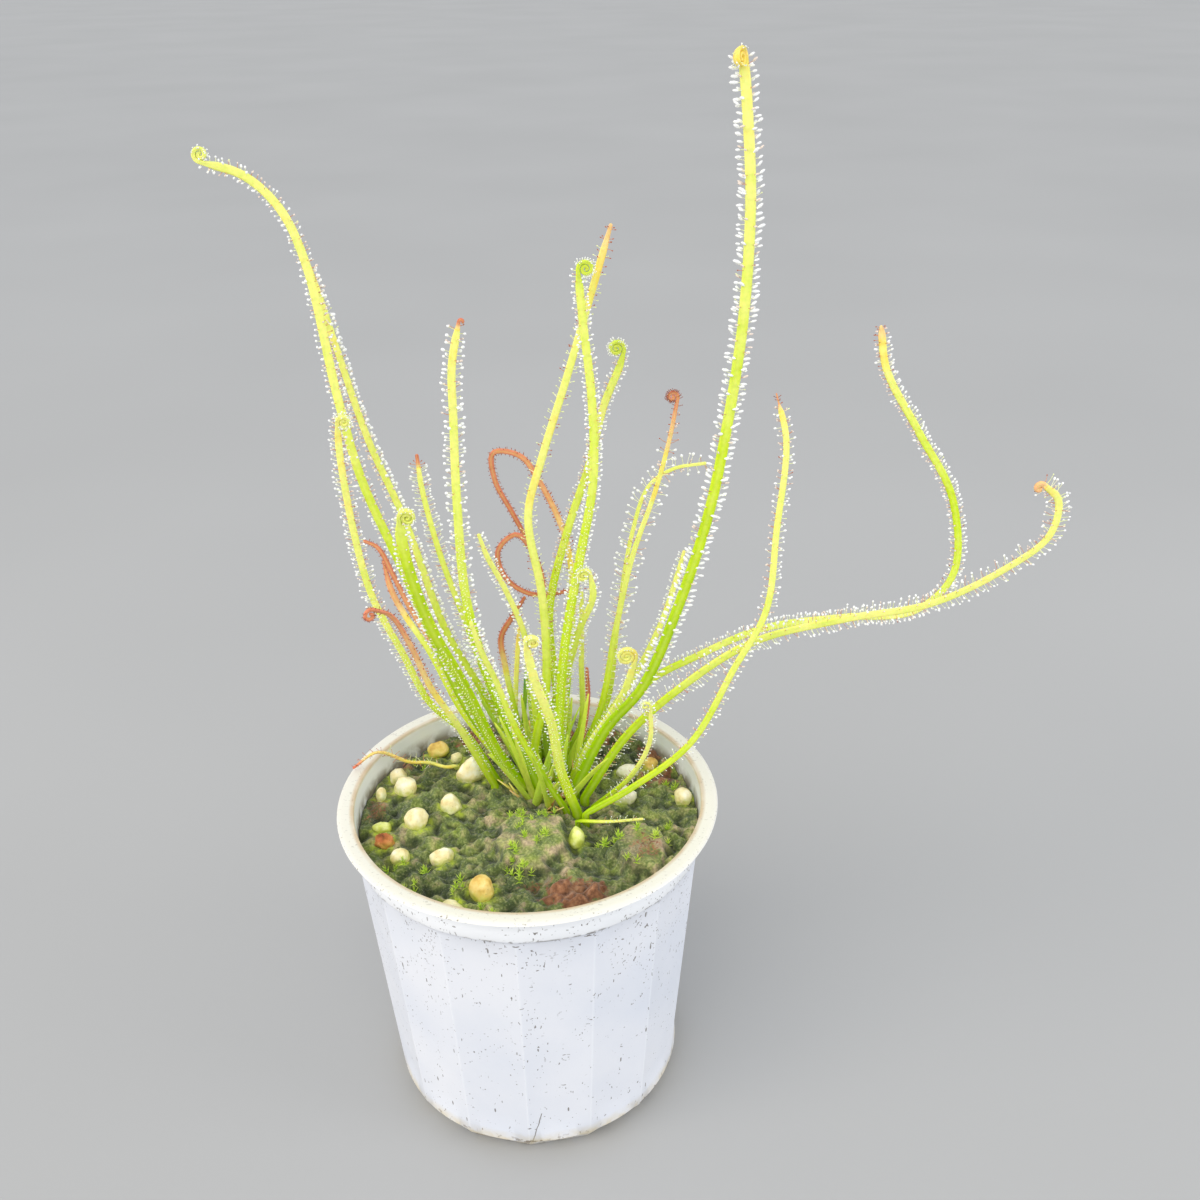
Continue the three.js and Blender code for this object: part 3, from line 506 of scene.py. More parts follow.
def linear(colour):
    """Linear values of a colour given in 0 to 255 as on a screen."""
    shares = [c / 255 for c in colour]
    return [s / 12.92 if s <= 0.04045 else ((s + 0.055) / 1.055) ** 2.4 for s in shares]


# Colours in 0 to 255 as on a screen, and the stops of ramps with a place before the colour
POT_SHADES = ((216, 220, 229), (226, 228, 234))
COLLAR_PAINTED_LIGHT, LIP_CREAM, CORNER_PAINTED_HIGHLIGHT = (238, 240, 243), (228, 225, 212), (249, 251, 254)
WORN_TAN, SOIL_STAIN, SPECK_BROWN = (196, 166, 122), (112, 96, 62), (92, 82, 70)
FOOT_GRIME, NICK_BROWN = (206, 192, 156), (104, 84, 56)
MOSS_TONES = ((0.0, (92, 108, 61)), (0.3, (126, 140, 75)), (0.5, (163, 166, 100)),
              (0.68, (192, 172, 132)), (1.0, (206, 180, 150)))
MOSS_BRIGHT, MOSS_DARK, MOSS_PAINTED_SHADE = (160, 178, 64), (60, 76, 48), (40, 48, 28)
GRAIN_DARK, GRAIN_PALE = (62, 70, 34), (206, 204, 142)
PEAT_TONES = ((0.25, (74, 44, 30)), (0.45, (130, 86, 58)), (0.62, (164, 114, 80)),
              (0.8, (196, 154, 116)))
SOIL_ALGAE, STONE_ALGAE, PIT_BROWN = (192, 210, 54), (186, 196, 58), (92, 80, 56)
STONE_STOPS = (0.28, 0.48, 0.72)
LEAF_TONES = ((0.0, (84, 158, 96)), (0.08, (138, 182, 2)), (0.2, (166, 202, 4)),
              (0.35, (204, 226, 42)), (0.5, (245, 246, 138)), (0.54, (252, 224, 100)),
              (0.6, (248, 214, 146)), (0.72, (228, 150, 112)), (0.86, (206, 112, 90)),
              (1.0, (168, 84, 64)))
RIB_LIGHT, LEAF_MOTTLE = (246, 250, 150), (150, 176, 30)
STALK_TONES = ((0.0, (232, 242, 150)), (0.3, (250, 250, 214)), (0.5, (246, 238, 180)),
               (0.62, (222, 158, 116)), (0.8, (176, 96, 66)), (1.0, (150, 76, 50)))
DEW_TINTS_AND_PAINTED_SPARKLE = ((0.0, (252, 254, 255)), (0.4, (255, 255, 250)), (0.6, (250, 238, 226)),
             (1.0, (226, 190, 164)))
SPRIG_TONES = ((0.0, (96, 110, 50)), (0.2, (126, 144, 64)), (0.45, (168, 204, 56)),
               (0.8, (218, 238, 96)), (1.0, (238, 248, 140)))
SPRIG_DARK = (80, 120, 30)
FLOOR_TONES = ((0.3, (168, 168, 167)), (0.7, (172, 172, 171)))

# heights of the marks on the pot: where each begins to show, and where it is full
STAIN_HEIGHTS = (0.0785, 0.0755)
GRIME_HEIGHTS = (0.0074, 0.0045)
NICK_HEIGHTS = (0.0062, 0.0045)
MOST_SPECKS = (0.02, 0.075)
STREAK_HEIGHTS = (0.05, 0.066)

# the crack in the foot: lean, how far left of the middle, half width, top, and foremost side
CRACK_LEAN, CRACK_LEFT, CRACK_HALF_WIDTH = 0.27, 0.0031, 0.00013
CRACK_TOP, CRACK_SIDE = 0.0145, -0.02


def pot_plastic():
    """White moulded plastic with specks, a cream lip, and grime at the foot and the soil line."""
    f = Finish("pot_plastic", 0.42, 0.4)
    height, radius, inside = f.coordinates()["Z"], f.radius(), f.attribute("inside")
    outside = f.minus(1, inside)
    base = f.mixed(f.span(f.grain(0.03, 4), 0.35, 0.65), *POT_SHADES)
    # Painted light: the collar under the lip is painted whiter so that it does not look shaded by the
    # lip.
    collar = f.span(height, COLLAR_LOW * MM, (COLLAR_LOW + 0.6) * MM)
    base = f.mixed(collar, base, COLLAR_PAINTED_LIGHT)
    lip = f.span(height, (HEIGHT - 1.3) * MM, (HEIGHT - 0.3) * MM)
    base = f.mixed(lip, base, LIP_CREAM)

    worn = f.unsigned(f.minus(radius, (MOUTH_RADIUS + 0.4) * MM))
    worn = f.span(worn, 0.0009, 0.0002, 0.0, 0.7)
    worn = f.times(worn, f.span(height, (HEIGHT - 0.9) * MM, (HEIGHT - 0.5) * MM))
    worn = f.times(worn, f.span(f.grain(0.006, 4), 0.3, 0.55, 0.4, 1.0))
    base = f.mixed(worn, base, WORN_TAN)
    # Painted highlight: a thin lighter line along the upright corners between the panels.
    base = f.mixed(f.span(f.attribute("corner"), 0.7, 1.0, 0.0, 0.2), base, CORNER_PAINTED_HIGHLIGHT)
    stain = f.times(inside, f.span(height, *STAIN_HEIGHTS))
    stain = f.times(stain, f.span(f.grain(0.004, 5), 0.36, 0.56))
    base = f.mixed(f.times(stain, 0.8), base, SOIL_STAIN)

    marks = f.times(pot_marks(f, height), outside)
    marks = f.larger(marks, hairline_crack(f))
    marks = f.times(marks, f.span(height, HEIGHT * MM, (HEIGHT - 0.6) * MM, 0.25, 1.0))
    base = f.mixed(f.times(marks, 0.8), base, SPECK_BROWN)
    grime = f.span(height, *GRIME_HEIGHTS, 0.0, 0.8)
    grime = f.times(grime, f.span(f.grain(0.0035, 5), 0.36, 0.6, 0.25, 1.0))
    base = f.mixed(f.times(grime, outside), base, FOOT_GRIME)
    nicks = f.times(f.span(height, *NICK_HEIGHTS), f.span(f.grain(0.0016, 3), 0.6, 0.66))
    base = f.mixed(f.times(nicks, 0.8), base, NICK_BROWN)
    f.coloured(base)
    f.roughened(f.span(f.grain(0.004, 4), 0.3, 0.7, 0.34, 0.52))
    f.bumped(f.minus(f.grain(0.0012, 3), marks), 0.00006, 0.5)
    return f.material


def pot_marks(f, height):
    """Fine specks, longer flecks and streaks, and a broken darker line in the groove under the collar.
    """
    fine = f.larger(f.grain(0.0006, 1, f.stretched((1.0, 1.0, 0.4), (0, 20, 0))),
                    f.grain(0.0006, 1, f.stretched((0.45, 1.0, 1.0), (0, 35, 0))))
    specks = f.span(f.plus(fine, f.span(height, *MOST_SPECKS, 0.0, 0.055)), 0.735, 0.76)
    specks = f.times(specks, f.span(f.grain(0.006, 5), 0.42, 0.52))
    flecks = f.below(f.cells(0.0026, f.stretched((1.0, 1.0, 0.26), (0, 18, 0))), 0.08)
    streaks = f.below(f.cells(0.0034, f.stretched((0.32, 1.0, 1.0), (0, 28, 0))), 0.075)
    flecks = f.larger(flecks, f.times(streaks, f.span(height, *STREAK_HEIGHTS)))
    flecks = f.times(flecks, f.span(f.grain(0.014, 3), 0.42, 0.5))
    groove = f.unsigned(f.minus(height, (COLLAR_LOW + 0.2) * MM))
    # A broken darker line along the groove under the collar.
    groove_line = f.times(f.span(groove, 0.0006, 0.0001), f.span(f.grain(0.0022, 5), 0.5, 0.62))
    return f.larger(f.larger(specks, flecks), groove_line)


def hairline_crack(f):
    """A fine crack that rises from the foot at the front."""
    place = f.coordinates()
    bent = f.span(f.grain(0.004, 2), 0.0, 1.0, -0.0004, 0.0004)
    off = f.plus(f.minus(place["X"], f.times(place["Z"], CRACK_LEAN)), f.plus(bent, CRACK_LEFT))
    thin = f.below(f.unsigned(off), CRACK_HALF_WIDTH)
    return f.times(thin, f.times(f.below(place["Y"], CRACK_SIDE), f.below(place["Z"], CRACK_TOP)))


def moss():
    """Moss and algae over peat, with the peat showing in patches, and painted shade in its hollows and
    creases.
    """
    f = Finish("moss_and_peat", 0.92, 0.12)
    fine = f.grain(0.00055, 6)
    tone = f.plus(f.attribute("tone"), f.span(f.grain(0.0035, 6), 0.3, 0.7, -0.4, 0.4))
    green = f.ramp(tone, *MOSS_TONES)
    green = f.mixed(f.times(f.span(f.grain(0.006, 5), 0.5, 0.66), 0.55), green, MOSS_BRIGHT)
    turned = f.stretched((1, 1, 1), (0, 0, 50))
    green = f.mixed(f.span(f.grain(0.009, 4, turned), 0.45, 0.6, 0.0, 0.5), green, MOSS_DARK)
    green = f.mixed(f.span(fine, 0.36, 0.56, 0.42, 0.0), green, GRAIN_DARK)
    green = f.mixed(f.span(fine, 0.52, 0.7, 0.0, 0.42), green, GRAIN_PALE)
    edge = f.plus(f.attribute("peat"), f.span(fine, 0.3, 0.7, -0.35, 0.4))
    base = f.mixed(f.span(edge, 0.3, 0.7), green, f.ramp(f.grain(0.0014, 6), *PEAT_TONES))
    film = f.times(f.attribute("film"), f.span(f.grain(0.0016, 3), 0.35, 0.6))
    base = f.mixed(f.times(film, 0.85), base, SOIL_ALGAE)
    # Painted shade: the moss darkens where it is less open to the light, in hollows, creases and round
    # the foot of the mounds, less on the peat.
    shade = f.span(f.attribute("lit"), 0.05, 0.72, 0.78, 0.0)
    shade = f.times(shade, f.span(f.attribute("peat"), 0.2, 0.7, 1.0, 0.35))
    f.coloured(f.mixed(shade, base, MOSS_PAINTED_SHADE))
    f.bumped(fine, 0.0006, 0.8)
    f.set("Sheen Weight", 0.2)
    f.set("Sheen Roughness", 0.6)
    return f.material


def stone(name, tones, speckled=0.0, algae=0.8, roughness=0.6):
    """A pebble: mottled, pitted, and green where it meets the moss."""
    f = Finish(name, roughness, 0.4)
    base = f.ramp(f.grain(0.0022, 5), *zip(STONE_STOPS, tones))
    pits = f.span(f.cells(0.0009), 0.16, 0.05)
    base = f.mixed(f.times(pits, 0.3 + speckled), base, PIT_BROWN)
    film = f.times(f.attribute("damp"), f.span(f.grain(0.0015, 4), 0.3, 0.6))
    f.coloured(f.mixed(f.times(film, algae), base, STONE_ALGAE))
    f.bumped(f.minus(f.grain(0.0009, 5), pits), 0.00016, 0.7)
    return f.material


def leaf_skin():
    """A leaf from fresh green at its foot to the colour of its age at the tip."""
    f = Finish("leaf_skin", 0.4, 0.22)
    age = f.attribute("age")
    mottled_age = f.plus(age, f.span(f.grain(0.006, 3), 0.3, 0.7, -0.035, 0.035))
    base = f.ramp(mottled_age, *LEAF_TONES)
    base = f.mixed(f.span(f.attribute("across"), 0.0, 0.55, 0.22, 0.0), base, RIB_LIGHT)
    base = f.mixed(f.span(f.grain(0.0009, 4), 0.42, 0.7, 0.0, 0.16), base, LEAF_MOTTLE, "MULTIPLY")
    f.coloured(base)
    f.roughened(f.span(age, 0.55, 0.85, 0.34, 0.75))
    f.bumped(f.grain(0.0005, 3, f.stretched((1, 1, 0.2))), 0.00008, 0.5)
    f.set("Subsurface Weight", 0.25)
    f.set("Subsurface Radius", (0.6, 1.0, 0.2))
    f.set("Subsurface Scale", 0.0012)
    return f.material


def stalk_skin():
    """Stalks of the tentacles and their glands."""
    f = Finish("tentacle_stalk", 0.35, 0.5)
    f.coloured(f.ramp(f.attribute("tone"), *STALK_TONES))
    f.roughened(f.span(f.grain(0.001, 2), 0.3, 0.7, 0.28, 0.45))
    return f.material


def dew_drop():
    """Sticky dew round a gland: clear dew, painted near white as a stand-in for its sparkle, warmer on
    red and dead tentacles.
    """
    f = Finish("dew", 0.04, 0.8)
    f.coloured(f.ramp(f.attribute("tone"), *DEW_TINTS_AND_PAINTED_SPARKLE))
    f.roughened(f.span(f.grain(0.002, 2), 0.3, 0.7, 0.03, 0.08))
    f.set("Transmission Weight", 0.12)
    f.set("IOR", 1.38)
    return f.material


def sprig_green():
    """Small bright moss shoots."""
    f = Finish("moss_sprig", 0.5, 0.3)
    base = f.ramp(f.attribute("tone"), *SPRIG_TONES)
    f.coloured(f.mixed(f.span(f.grain(0.0008, 2), 0.4, 0.7, 0.0, 0.3), base, SPRIG_DARK))
    return f.material


def floor_paint():
    f = Finish("studio_floor", 0.85, 0.1)
    f.coloured(f.ramp(f.grain(0.3, 2), *FLOOR_TONES))
    return f.material


# ---- Studio --------------------------------------------------------------------------

CAMERA_PLACE = (7.9, -241.8, 262.1)
CAMERA_PITCH, CAMERA_YAW, CAMERA_ROLL = 28.07, 2.33, -0.79
CAMERA_LENS, CAMERA_SENSOR = 37.5, 36.0
FLOOR_WIDE, FLOOR_GAP = 60, 0.0001
SUN_POWER, SUN_SPREAD, SUN_COLOUR, SUN_TURNS = 1.35, 60, (1.0, 0.98, 0.95), (42, 0, -28)
WORLD_COLOUR, WORLD_POWER = (0.92, 0.95, 1.0, 1), 0.92
LIT_PLACE = (0, 0, 0.11)
# name, place, size, power, colour
SOFT_LIGHTS = (
    ("front", (0.2, -0.9, 0.5), 0.7, 0.3, (1, 1, 1)),
    ("left", (-0.95, -0.35, 0.3), 0.5, 3.2, (1.0, 0.91, 0.78)),
    ("right", (0.95, -0.35, 0.3), 0.5, 3.0, (1, 1, 1)),
)


def set_camera():
    pitch, yaw, roll = (math.radians(a) for a in (CAMERA_PITCH, CAMERA_YAW, CAMERA_ROLL))
    ahead = Vector((math.sin(yaw) * math.cos(pitch), math.cos(yaw) * math.cos(pitch),
                    -math.sin(pitch)))
    level = Vector((math.cos(yaw), -math.sin(yaw), 0))
    above = level.cross(ahead)
    right = level * math.cos(roll) + above * math.sin(roll)
    up = above * math.cos(roll) - level * math.sin(roll)
    lens = bpy.data.cameras.new("camera")
    lens.lens, lens.sensor_width = CAMERA_LENS, CAMERA_SENSOR
    lens.clip_start, lens.clip_end = 0.01, 20
    camera = bpy.data.objects.new("camera", lens)
    bpy.context.scene.collection.objects.link(camera)
    turned = Matrix((right, up, -ahead)).transposed()
    camera.matrix_world = Matrix.Translation(Vector(CAMERA_PLACE) * MM) @ turned.to_4x4()
    bpy.context.scene.camera = camera


def add_light(name, kind, power, colour):
    light = bpy.data.lights.new(name, kind)
    light.energy, light.color = power, colour
    lamp = bpy.data.objects.new(name, light)
    bpy.context.scene.collection.objects.link(lamp)
    return light, lamp


def set_studio():
    floor = shaped(bpy.ops.mesh.primitive_grid_add, x_subdivisions=8, y_subdivisions=8,
                   size=FLOOR_WIDE, location=(0, 0, -FLOOR_GAP))
    apply_place()
    floor.name = "studio_floor"
    floor.data.materials.append(floor_paint())
    sun, lamp = add_light("soft_sun", "SUN", SUN_POWER, SUN_COLOUR)
    sun.angle = math.radians(SUN_SPREAD)
    lamp.rotation_euler = [math.radians(a) for a in SUN_TURNS]
    for name, place, size, power, colour in SOFT_LIGHTS:
        light, lamp = add_light(name, "AREA", power, colour)
        light.shape, light.size = "DISK", size
        lamp.location = place
        towards = Vector(LIT_PLACE) - Vector(place)
        lamp.rotation_euler = towards.to_track_quat("-Z", "Y").to_euler()
    world = bpy.data.worlds.new("studio")
    world.use_nodes = True
    sky = world.node_tree.nodes["Background"].inputs
    sky["Color"].default_value = WORLD_COLOUR
    sky["Strength"].default_value = WORLD_POWER
    bpy.context.scene.world = world
    bpy.context.scene.view_settings.view_transform = "Standard"


# ---- Pot -----------------------------------------------------------------------------

APOTHEM = math.cos(math.pi / PANELS)
AROUND = PANELS * 12
WALL_RINGS = 14
INNER_FOOT = PANEL_FOOT_RADIUS * APOTHEM - WALL
INNER_TOP = PANEL_TOP_RADIUS * APOTHEM - WALL + 0.2
WALL_MARGIN = 0.35
CORNER_SHARE = 0.999
NOTCH_SOFT_IN, NOTCH_SOFT_OUT = 0.5, 0.3
NOTCH_LIFT, NOTCH_PUSH = 0.9, 0.03
SMOOTH_BELOW = 38


def pot_profile():
    """Rings from the foot up outside, over the lip and down inside.

    Each is a radius, a height, and how far the ring is pressed to the panels.
    """
    foot = [(FOOT_RADIUS - 0.5, 0.0, 1), (FOOT_RADIUS, 0.35, 1),
            (FOOT_RADIUS + 0.75, NOTCH_HEIGHT, 1), (PANEL_FOOT_RADIUS - 0.25, PANEL_FOOT - 0.5, 1),
            (PANEL_FOOT_RADIUS + 0.05, PANEL_FOOT + 0.6, 1)]
    shares = [i / WALL_RINGS for i in range(1, WALL_RINGS)]
    panels = [(PANEL_FOOT_RADIUS + (PANEL_TOP_RADIUS - PANEL_FOOT_RADIUS) * share,
               PANEL_FOOT + (PANEL_TOP - PANEL_FOOT) * share, 1) for share in shares]
    under_lip = HEIGHT - LIP_THICK
    collar = [(PANEL_TOP_RADIUS, PANEL_TOP - 0.6, 1), (PANEL_TOP_RADIUS + 0.1, PANEL_TOP + 0.1, 0.75),
              (COLLAR_RADIUS - 0.15, COLLAR_LOW + 0.1, 0.1), (COLLAR_RADIUS, COLLAR_LOW + 0.5, 0),
              (COLLAR_RADIUS + 0.05, COLLAR_LOW + 3.0, 0), (COLLAR_RADIUS + 0.1, under_lip - 0.6, 0),
              (COLLAR_RADIUS + 0.35, under_lip - 0.15, 0)]
    lip = [(LIP_RADIUS - 0.9, under_lip - 0.15, 0), (LIP_RADIUS - 0.35, under_lip, 0),
           (LIP_RADIUS - 0.05, under_lip + 0.35, 0), (LIP_RADIUS, HEIGHT - 0.75, 0),
           (LIP_RADIUS - 0.15, HEIGHT - 0.35, 0), (LIP_RADIUS - 0.55, HEIGHT - 0.08, 0),
           (LIP_RADIUS - 1.1, HEIGHT, 0), (MOUTH_RADIUS + 0.8, HEIGHT - 0.1, 0),
           (MOUTH_RADIUS + 0.25, HEIGHT - 0.2, 0), (MOUTH_RADIUS + 0.02, HEIGHT - 0.5, 0)]
    inside = [(MOUTH_RADIUS - 0.03, HEIGHT - 1.2, 0), (MOUTH_RADIUS - 0.4, PANEL_TOP + 1, 0),
              (INNER_TOP, PANEL_TOP - 1, 0), (INNER_FOOT, PANEL_FOOT + 0.6, 0),
              (INNER_FOOT - 1.6, FLOOR, 0)]
    return foot + panels + collar + lip + inside


def make_pot():
    """A turned wall, pressed to flat panels below the collar, with notches in its foot."""
    rings = pot_profile()
    wall = shaped(bpy.ops.mesh.primitive_circle_add, vertices=AROUND, radius=rings[0][0] * MM,
                  fill_type="NGON", rotation=(0, 0, math.radians(PANEL_TURN)))
    apply_place()
    edit_all()
    bpy.ops.mesh.flip_normals()
    for (before, low, _), (radius, height, _) in zip(rings, rings[1:]):
        draw_up((height - low) * MM, radius / before)
    close_outward()
    press_panels(wall, rings)
    bpy.ops.object.shade_smooth_by_angle(angle=math.radians(SMOOTH_BELOW))
    sharpen_corners(wall)
    dressed(wall, "pot_shell", "pot_plastic", ["pot"], pot_plastic())


def panel_share(angle):
    """How far in a flat panel lies from the circle through its corners, at an angle."""
    step = 2 * math.pi / PANELS
    off = (angle - math.radians(PANEL_TURN)) % step - step / 2
    return APOTHEM / math.cos(off)


def press_panels(wall, rings):
    pressed_at = {round(height, 3): pressed for _, height, pressed in rings}
    inner = []
    for vertex in wall.data.vertices:
        x, y, z = (c / MM for c in vertex.co)
        radius, angle = math.hypot(x, y), math.atan2(y, x)
        pressed = min(pressed_at.items(), key=lambda ring: abs(ring[0] - z))[1]
        limit = inner_wall_radius(z) if z < PANEL_TOP - 2 else MOUTH_RADIUS
        inside = radius < limit + WALL_MARGIN and z > FLOOR - 0.1
        inner.append(float(inside))
        if radius <= FOOT_RADIUS - 1:
            continue
        if pressed and not inside:
            factor = 1 + (panel_share(angle) - 1) * pressed
            vertex.co.x *= factor
            vertex.co.y *= factor
        if z < NOTCH_HEIGHT + 0.1:
            lift_notch(vertex, angle)
    point_values(wall, "inside", inner)


def sharpen_corners(wall):
    """Keeps the upright edges between the panels crisp."""
    corner = []
    for vertex in wall.data.vertices:
        x, y, z = (c / MM for c in vertex.co)
        outside = math.hypot(x, y) > inner_wall_radius(z) + WALL_MARGIN
        panelled = NOTCH_HEIGHT < z < PANEL_TOP
        corner.append(outside and panelled and panel_share(math.atan2(y, x)) > CORNER_SHARE)
    for edge in wall.data.edges:
        if all(corner[k] for k in edge.vertices):
            edge.use_edge_sharp = True
    # The corner marks also place the painted highlight line in the pot's finish.
    point_values(wall, "corner", corner)


def inner_wall_radius(z):
    share = (z - PANEL_FOOT) / (PANEL_TOP - PANEL_FOOT)
    return INNER_FOOT + (INNER_TOP - INNER_FOOT) * share


def lift_notch(vertex, angle):
    """Pushes the foot's edge in where a drain notch is."""
    for turn in NOTCH_TURNS:
        off = (angle - math.radians(turn) + math.pi) % (2 * math.pi) - math.pi
        across = abs(off) * FOOT_RADIUS
        depth = 1 - smoothstep(NOTCH_HALF_WIDTH - NOTCH_SOFT_IN, NOTCH_HALF_WIDTH + NOTCH_SOFT_OUT,
                               across)
        vertex.co.z += depth * (NOTCH_HEIGHT * MM - vertex.co.z) * NOTCH_LIFT
        vertex.co.x *= 1 - NOTCH_PUSH * depth
        vertex.co.y *= 1 - NOTCH_PUSH * depth


# ---- Soil and moss -------------------------------------------------------------------

SOIL_EDGE = MOUTH_RADIUS - 0.55
SOIL_FOOT = SOIL_EDGE - 1.6
SOIL_RINGS = 62
SOIL_AROUND = 200

# layers of noise, each (height, seed, size across)
BEND_X = ((1.5, 2, 2.6), (0.8, 5, 1.0))
BEND_Y = ((1.5, 7, 2.6), (0.8, 9, 1.0))
HILLS = ((1.0, 51, 3.4), (0.6, 53, 1.5))
CRUMBS = ((0.2, 14, 0.9), (0.14, 21, 0.45))
CUSHION_SIZE, CUSHION_RISE, HILL_RISE, MOSS_SUNK = 4.6, 0.9, 1.7, 1.5
DOME_RISE, DOME_SMOOTHING = 2.0, 0.8
# the two smooth mounds at the front: centre x, y, half length, half depth
DOMES = ((0.5, -13, 9, 10), (26, -16, 6.5, 8.5))
PEBBLE_CLEARING = 2.4
FILM_REACH = (0.3, 1.9)
PEAT_RISE, PEAT_RAISED_FROM = 2.6, 0.8
# centre x, y, half length, half depth, strength
PEAT_PATCHES = ((11, -29.5, 7.8, 4.8, 1.25), (-33, 22, 4, 4, 0.6), (-37, 6, 2.8, 6, 0.52),
                (33, 14, 5, 4, 0.8), (31, 24, 4, 4, 0.9), (-14, 33, 6, 4, 0.9), (15, 33, 7, 4, 1.0),
                (0.5, -26.5, 2.8, 2.4, 0.5), (27, -17, 3.4, 5, 0.46))


def soil_height(x, y):
    """Level of the plain soil, the same as in the model."""
    ripple = 0.35 * math.sin(x * 0.55 + 1) * math.cos(y * 0.6) + 0.2 * math.sin(x * 1.3 + y)
    height = SOIL_LEVEL + ripple
    for mx, my, radius, rise in MOUNDS:
        far = ((x - mx) ** 2 + (y - my) ** 2) / radius ** 2
        height += rise * math.exp(-1.6 * far)
    return height


def cushion_at(x, y):
    """Nearness to a cushion's middle, how far outside its crease, and a tone of its own."""
    far, middles = noise.voronoi(Vector((x / CUSHION_SIZE, y / CUSHION_SIZE, 0.5)))
    crease = smoothstep(0.0, 0.42, far[1] - far[0])
    return 1 - min(far[0], 1.0) ** 2, crease, noise.cell(middles[0] * 9)


def moss_at(x, y):
    """Height of the moss over the soil's level, its openness to the light, and its tone."""
    big, big_open, tone = cushion_at(x + layered(x, y, BEND_X), y + layered(x, y, BEND_Y))
    hills = 0.5 + layered(x, y, HILLS)
    crumbs = layered(x, y, CRUMBS)
    mound = dome(x, y)
    loose = 1 - DOME_SMOOTHING * mound
    cushions = CUSHION_RISE * big * (0.4 + 0.6 * big_open)
    height = loose * (cushions + HILL_RISE * hills - MOSS_SUNK) + crumbs + DOME_RISE * mound
    height *= 0.25 + 0.75 * smoothstep(0.0, PEBBLE_CLEARING, pebble_gap(x, y))
    height += PEAT_RISE * max(peat_at(x, y) - PEAT_RAISED_FROM, 0)
    # This openness to the light is painted into the moss colour as shade.
    hollow = 1 - (0.5 + 0.5 * big_open) * smoothstep(-0.1, 0.62, hills)
    foot_of_mound = 4 * mound * (1 - mound)
    light = 1 - loose * hollow + 0.5 * crumbs - 0.55 * foot_of_mound
    return height, light, 0.5 * tone + 0.5 * hills


def dome(x, y):
    """How much a place is part of the smooth mounds."""
    off = min(math.hypot((x - dx) / wide, (y - dy) / deep) for dx, dy, wide, deep in DOMES)
    return 1 - smoothstep(0.78, 1.04, off + 0.3 * rough(x, y, 33, 3))


def pebble_gap(x, y):
    """Distance to the nearest pebble."""
    return min(math.hypot(x - px, y - py) - (length + depth) / 4
               for px, py, length, depth, *_ in PEBBLES.values())


def moss_height(x, y):
    return soil_height(x, y) + moss_at(x, y)[0]


def peat_at(x, y):
    value = 0.0
    for px, py, wide, deep, strength in PEAT_PATCHES:
        far = math.hypot((x - px) / wide, (y - py) / deep)
        value = max(value, strength * (1 - smoothstep(0.5, 1.3, far + 0.7 * rough(x, y, 5, 1.8))))
    return value


def film_at(x, y):
    """Bright algae close round the pebbles."""
    return 1 - smoothstep(*FILM_REACH, pebble_gap(x, y) + 0.9 * rough(x, y, 40, 1.6))


def make_soil():
    """The moss-covered soil: a fine round top on a plain skirt."""
    ground = shaped(bpy.ops.mesh.primitive_circle_add, vertices=SOIL_AROUND,
                    radius=SOIL_FOOT * MM, fill_type="NGON", location=(0, 0, SOIL_LOW * MM))
    apply_place()
    edit_all()
    bpy.ops.mesh.flip_normals()
    draw_up((SOIL_LEVEL - SOIL_LOW) * MM, SOIL_EDGE / SOIL_FOOT)
    for ring in range(SOIL_RINGS, 1, -1):
        draw_up(0, (ring - 1) / ring)
    bpy.ops.mesh.merge(type="CENTER")
    bpy.ops.mesh.select_all(action="DESELECT")
    bpy.ops.object.mode_set(mode="OBJECT")
    ground.data.update()
    for face in ground.data.polygons:
        face.select = face.center.z > (SOIL_LEVEL - 1) * MM
    bpy.ops.object.mode_set(mode="EDIT")
    bpy.ops.mesh.subdivide(number_cuts=1)
    close_outward()
    raise_moss(ground)
    bpy.ops.object.shade_smooth()
    dressed(ground, "soil_and_moss", "soil_moss", ["soil"], moss())


def raise_moss(ground):
    values = {"peat": [], "lit": [], "tone": [], "film": []}
    for vertex in ground.data.vertices:
        x, y, z = (c / MM for c in vertex.co)
        height, light, tone = moss_at(x, y)
        if z > SOIL_LEVEL - 1:
            vertex.co.z = (soil_height(x, y) + height) * MM
        browner = 0.4 * dome(x, y) * (0.6 + rough(x, y, 37, 4))
        values["peat"].append(peat_at(x, y))
        values["lit"].append(light)
        values["tone"].append(min(0.15 + 0.5 * tone + browner, 1))
        values["film"].append(film_at(x, y))
    for name, numbers in values.items():
        point_values(ground, name, numbers)


# ---- Pebbles -------------------------------------------------------------------------

PEBBLE_WIDER, PEBBLE_TALLER = 1.12, 1.32
DAMP_HEIGHTS = (0.2, 2.8)
CUTS, CUT_DEPTHS = 8, (0.6, 0.9)
PEBBLE_ROUGH, PEAT_ROUGH = 0.05, 0.2
# name of the finish, its dark, middle and light tones, and further settings
STONES = {
    "pale": ("pebble_pale", ((222, 198, 134), (247, 233, 180), (254, 250, 226))),
    "amber": ("pebble_amber", ((192, 146, 64), (230, 194, 102), (246, 224, 152))),
    "mossy": ("pebble_mossy", ((150, 162, 64), (214, 222, 110), (250, 250, 190)), 0.1),
    "speckled": ("pebble_speckled", ((226, 218, 186), (244, 238, 212), (255, 252, 240)), 0.1),
    "peat": ("peat_lump", ((104, 54, 30), (186, 104, 62), (220, 148, 98)), 0.3, 0.4, 0.95),
}


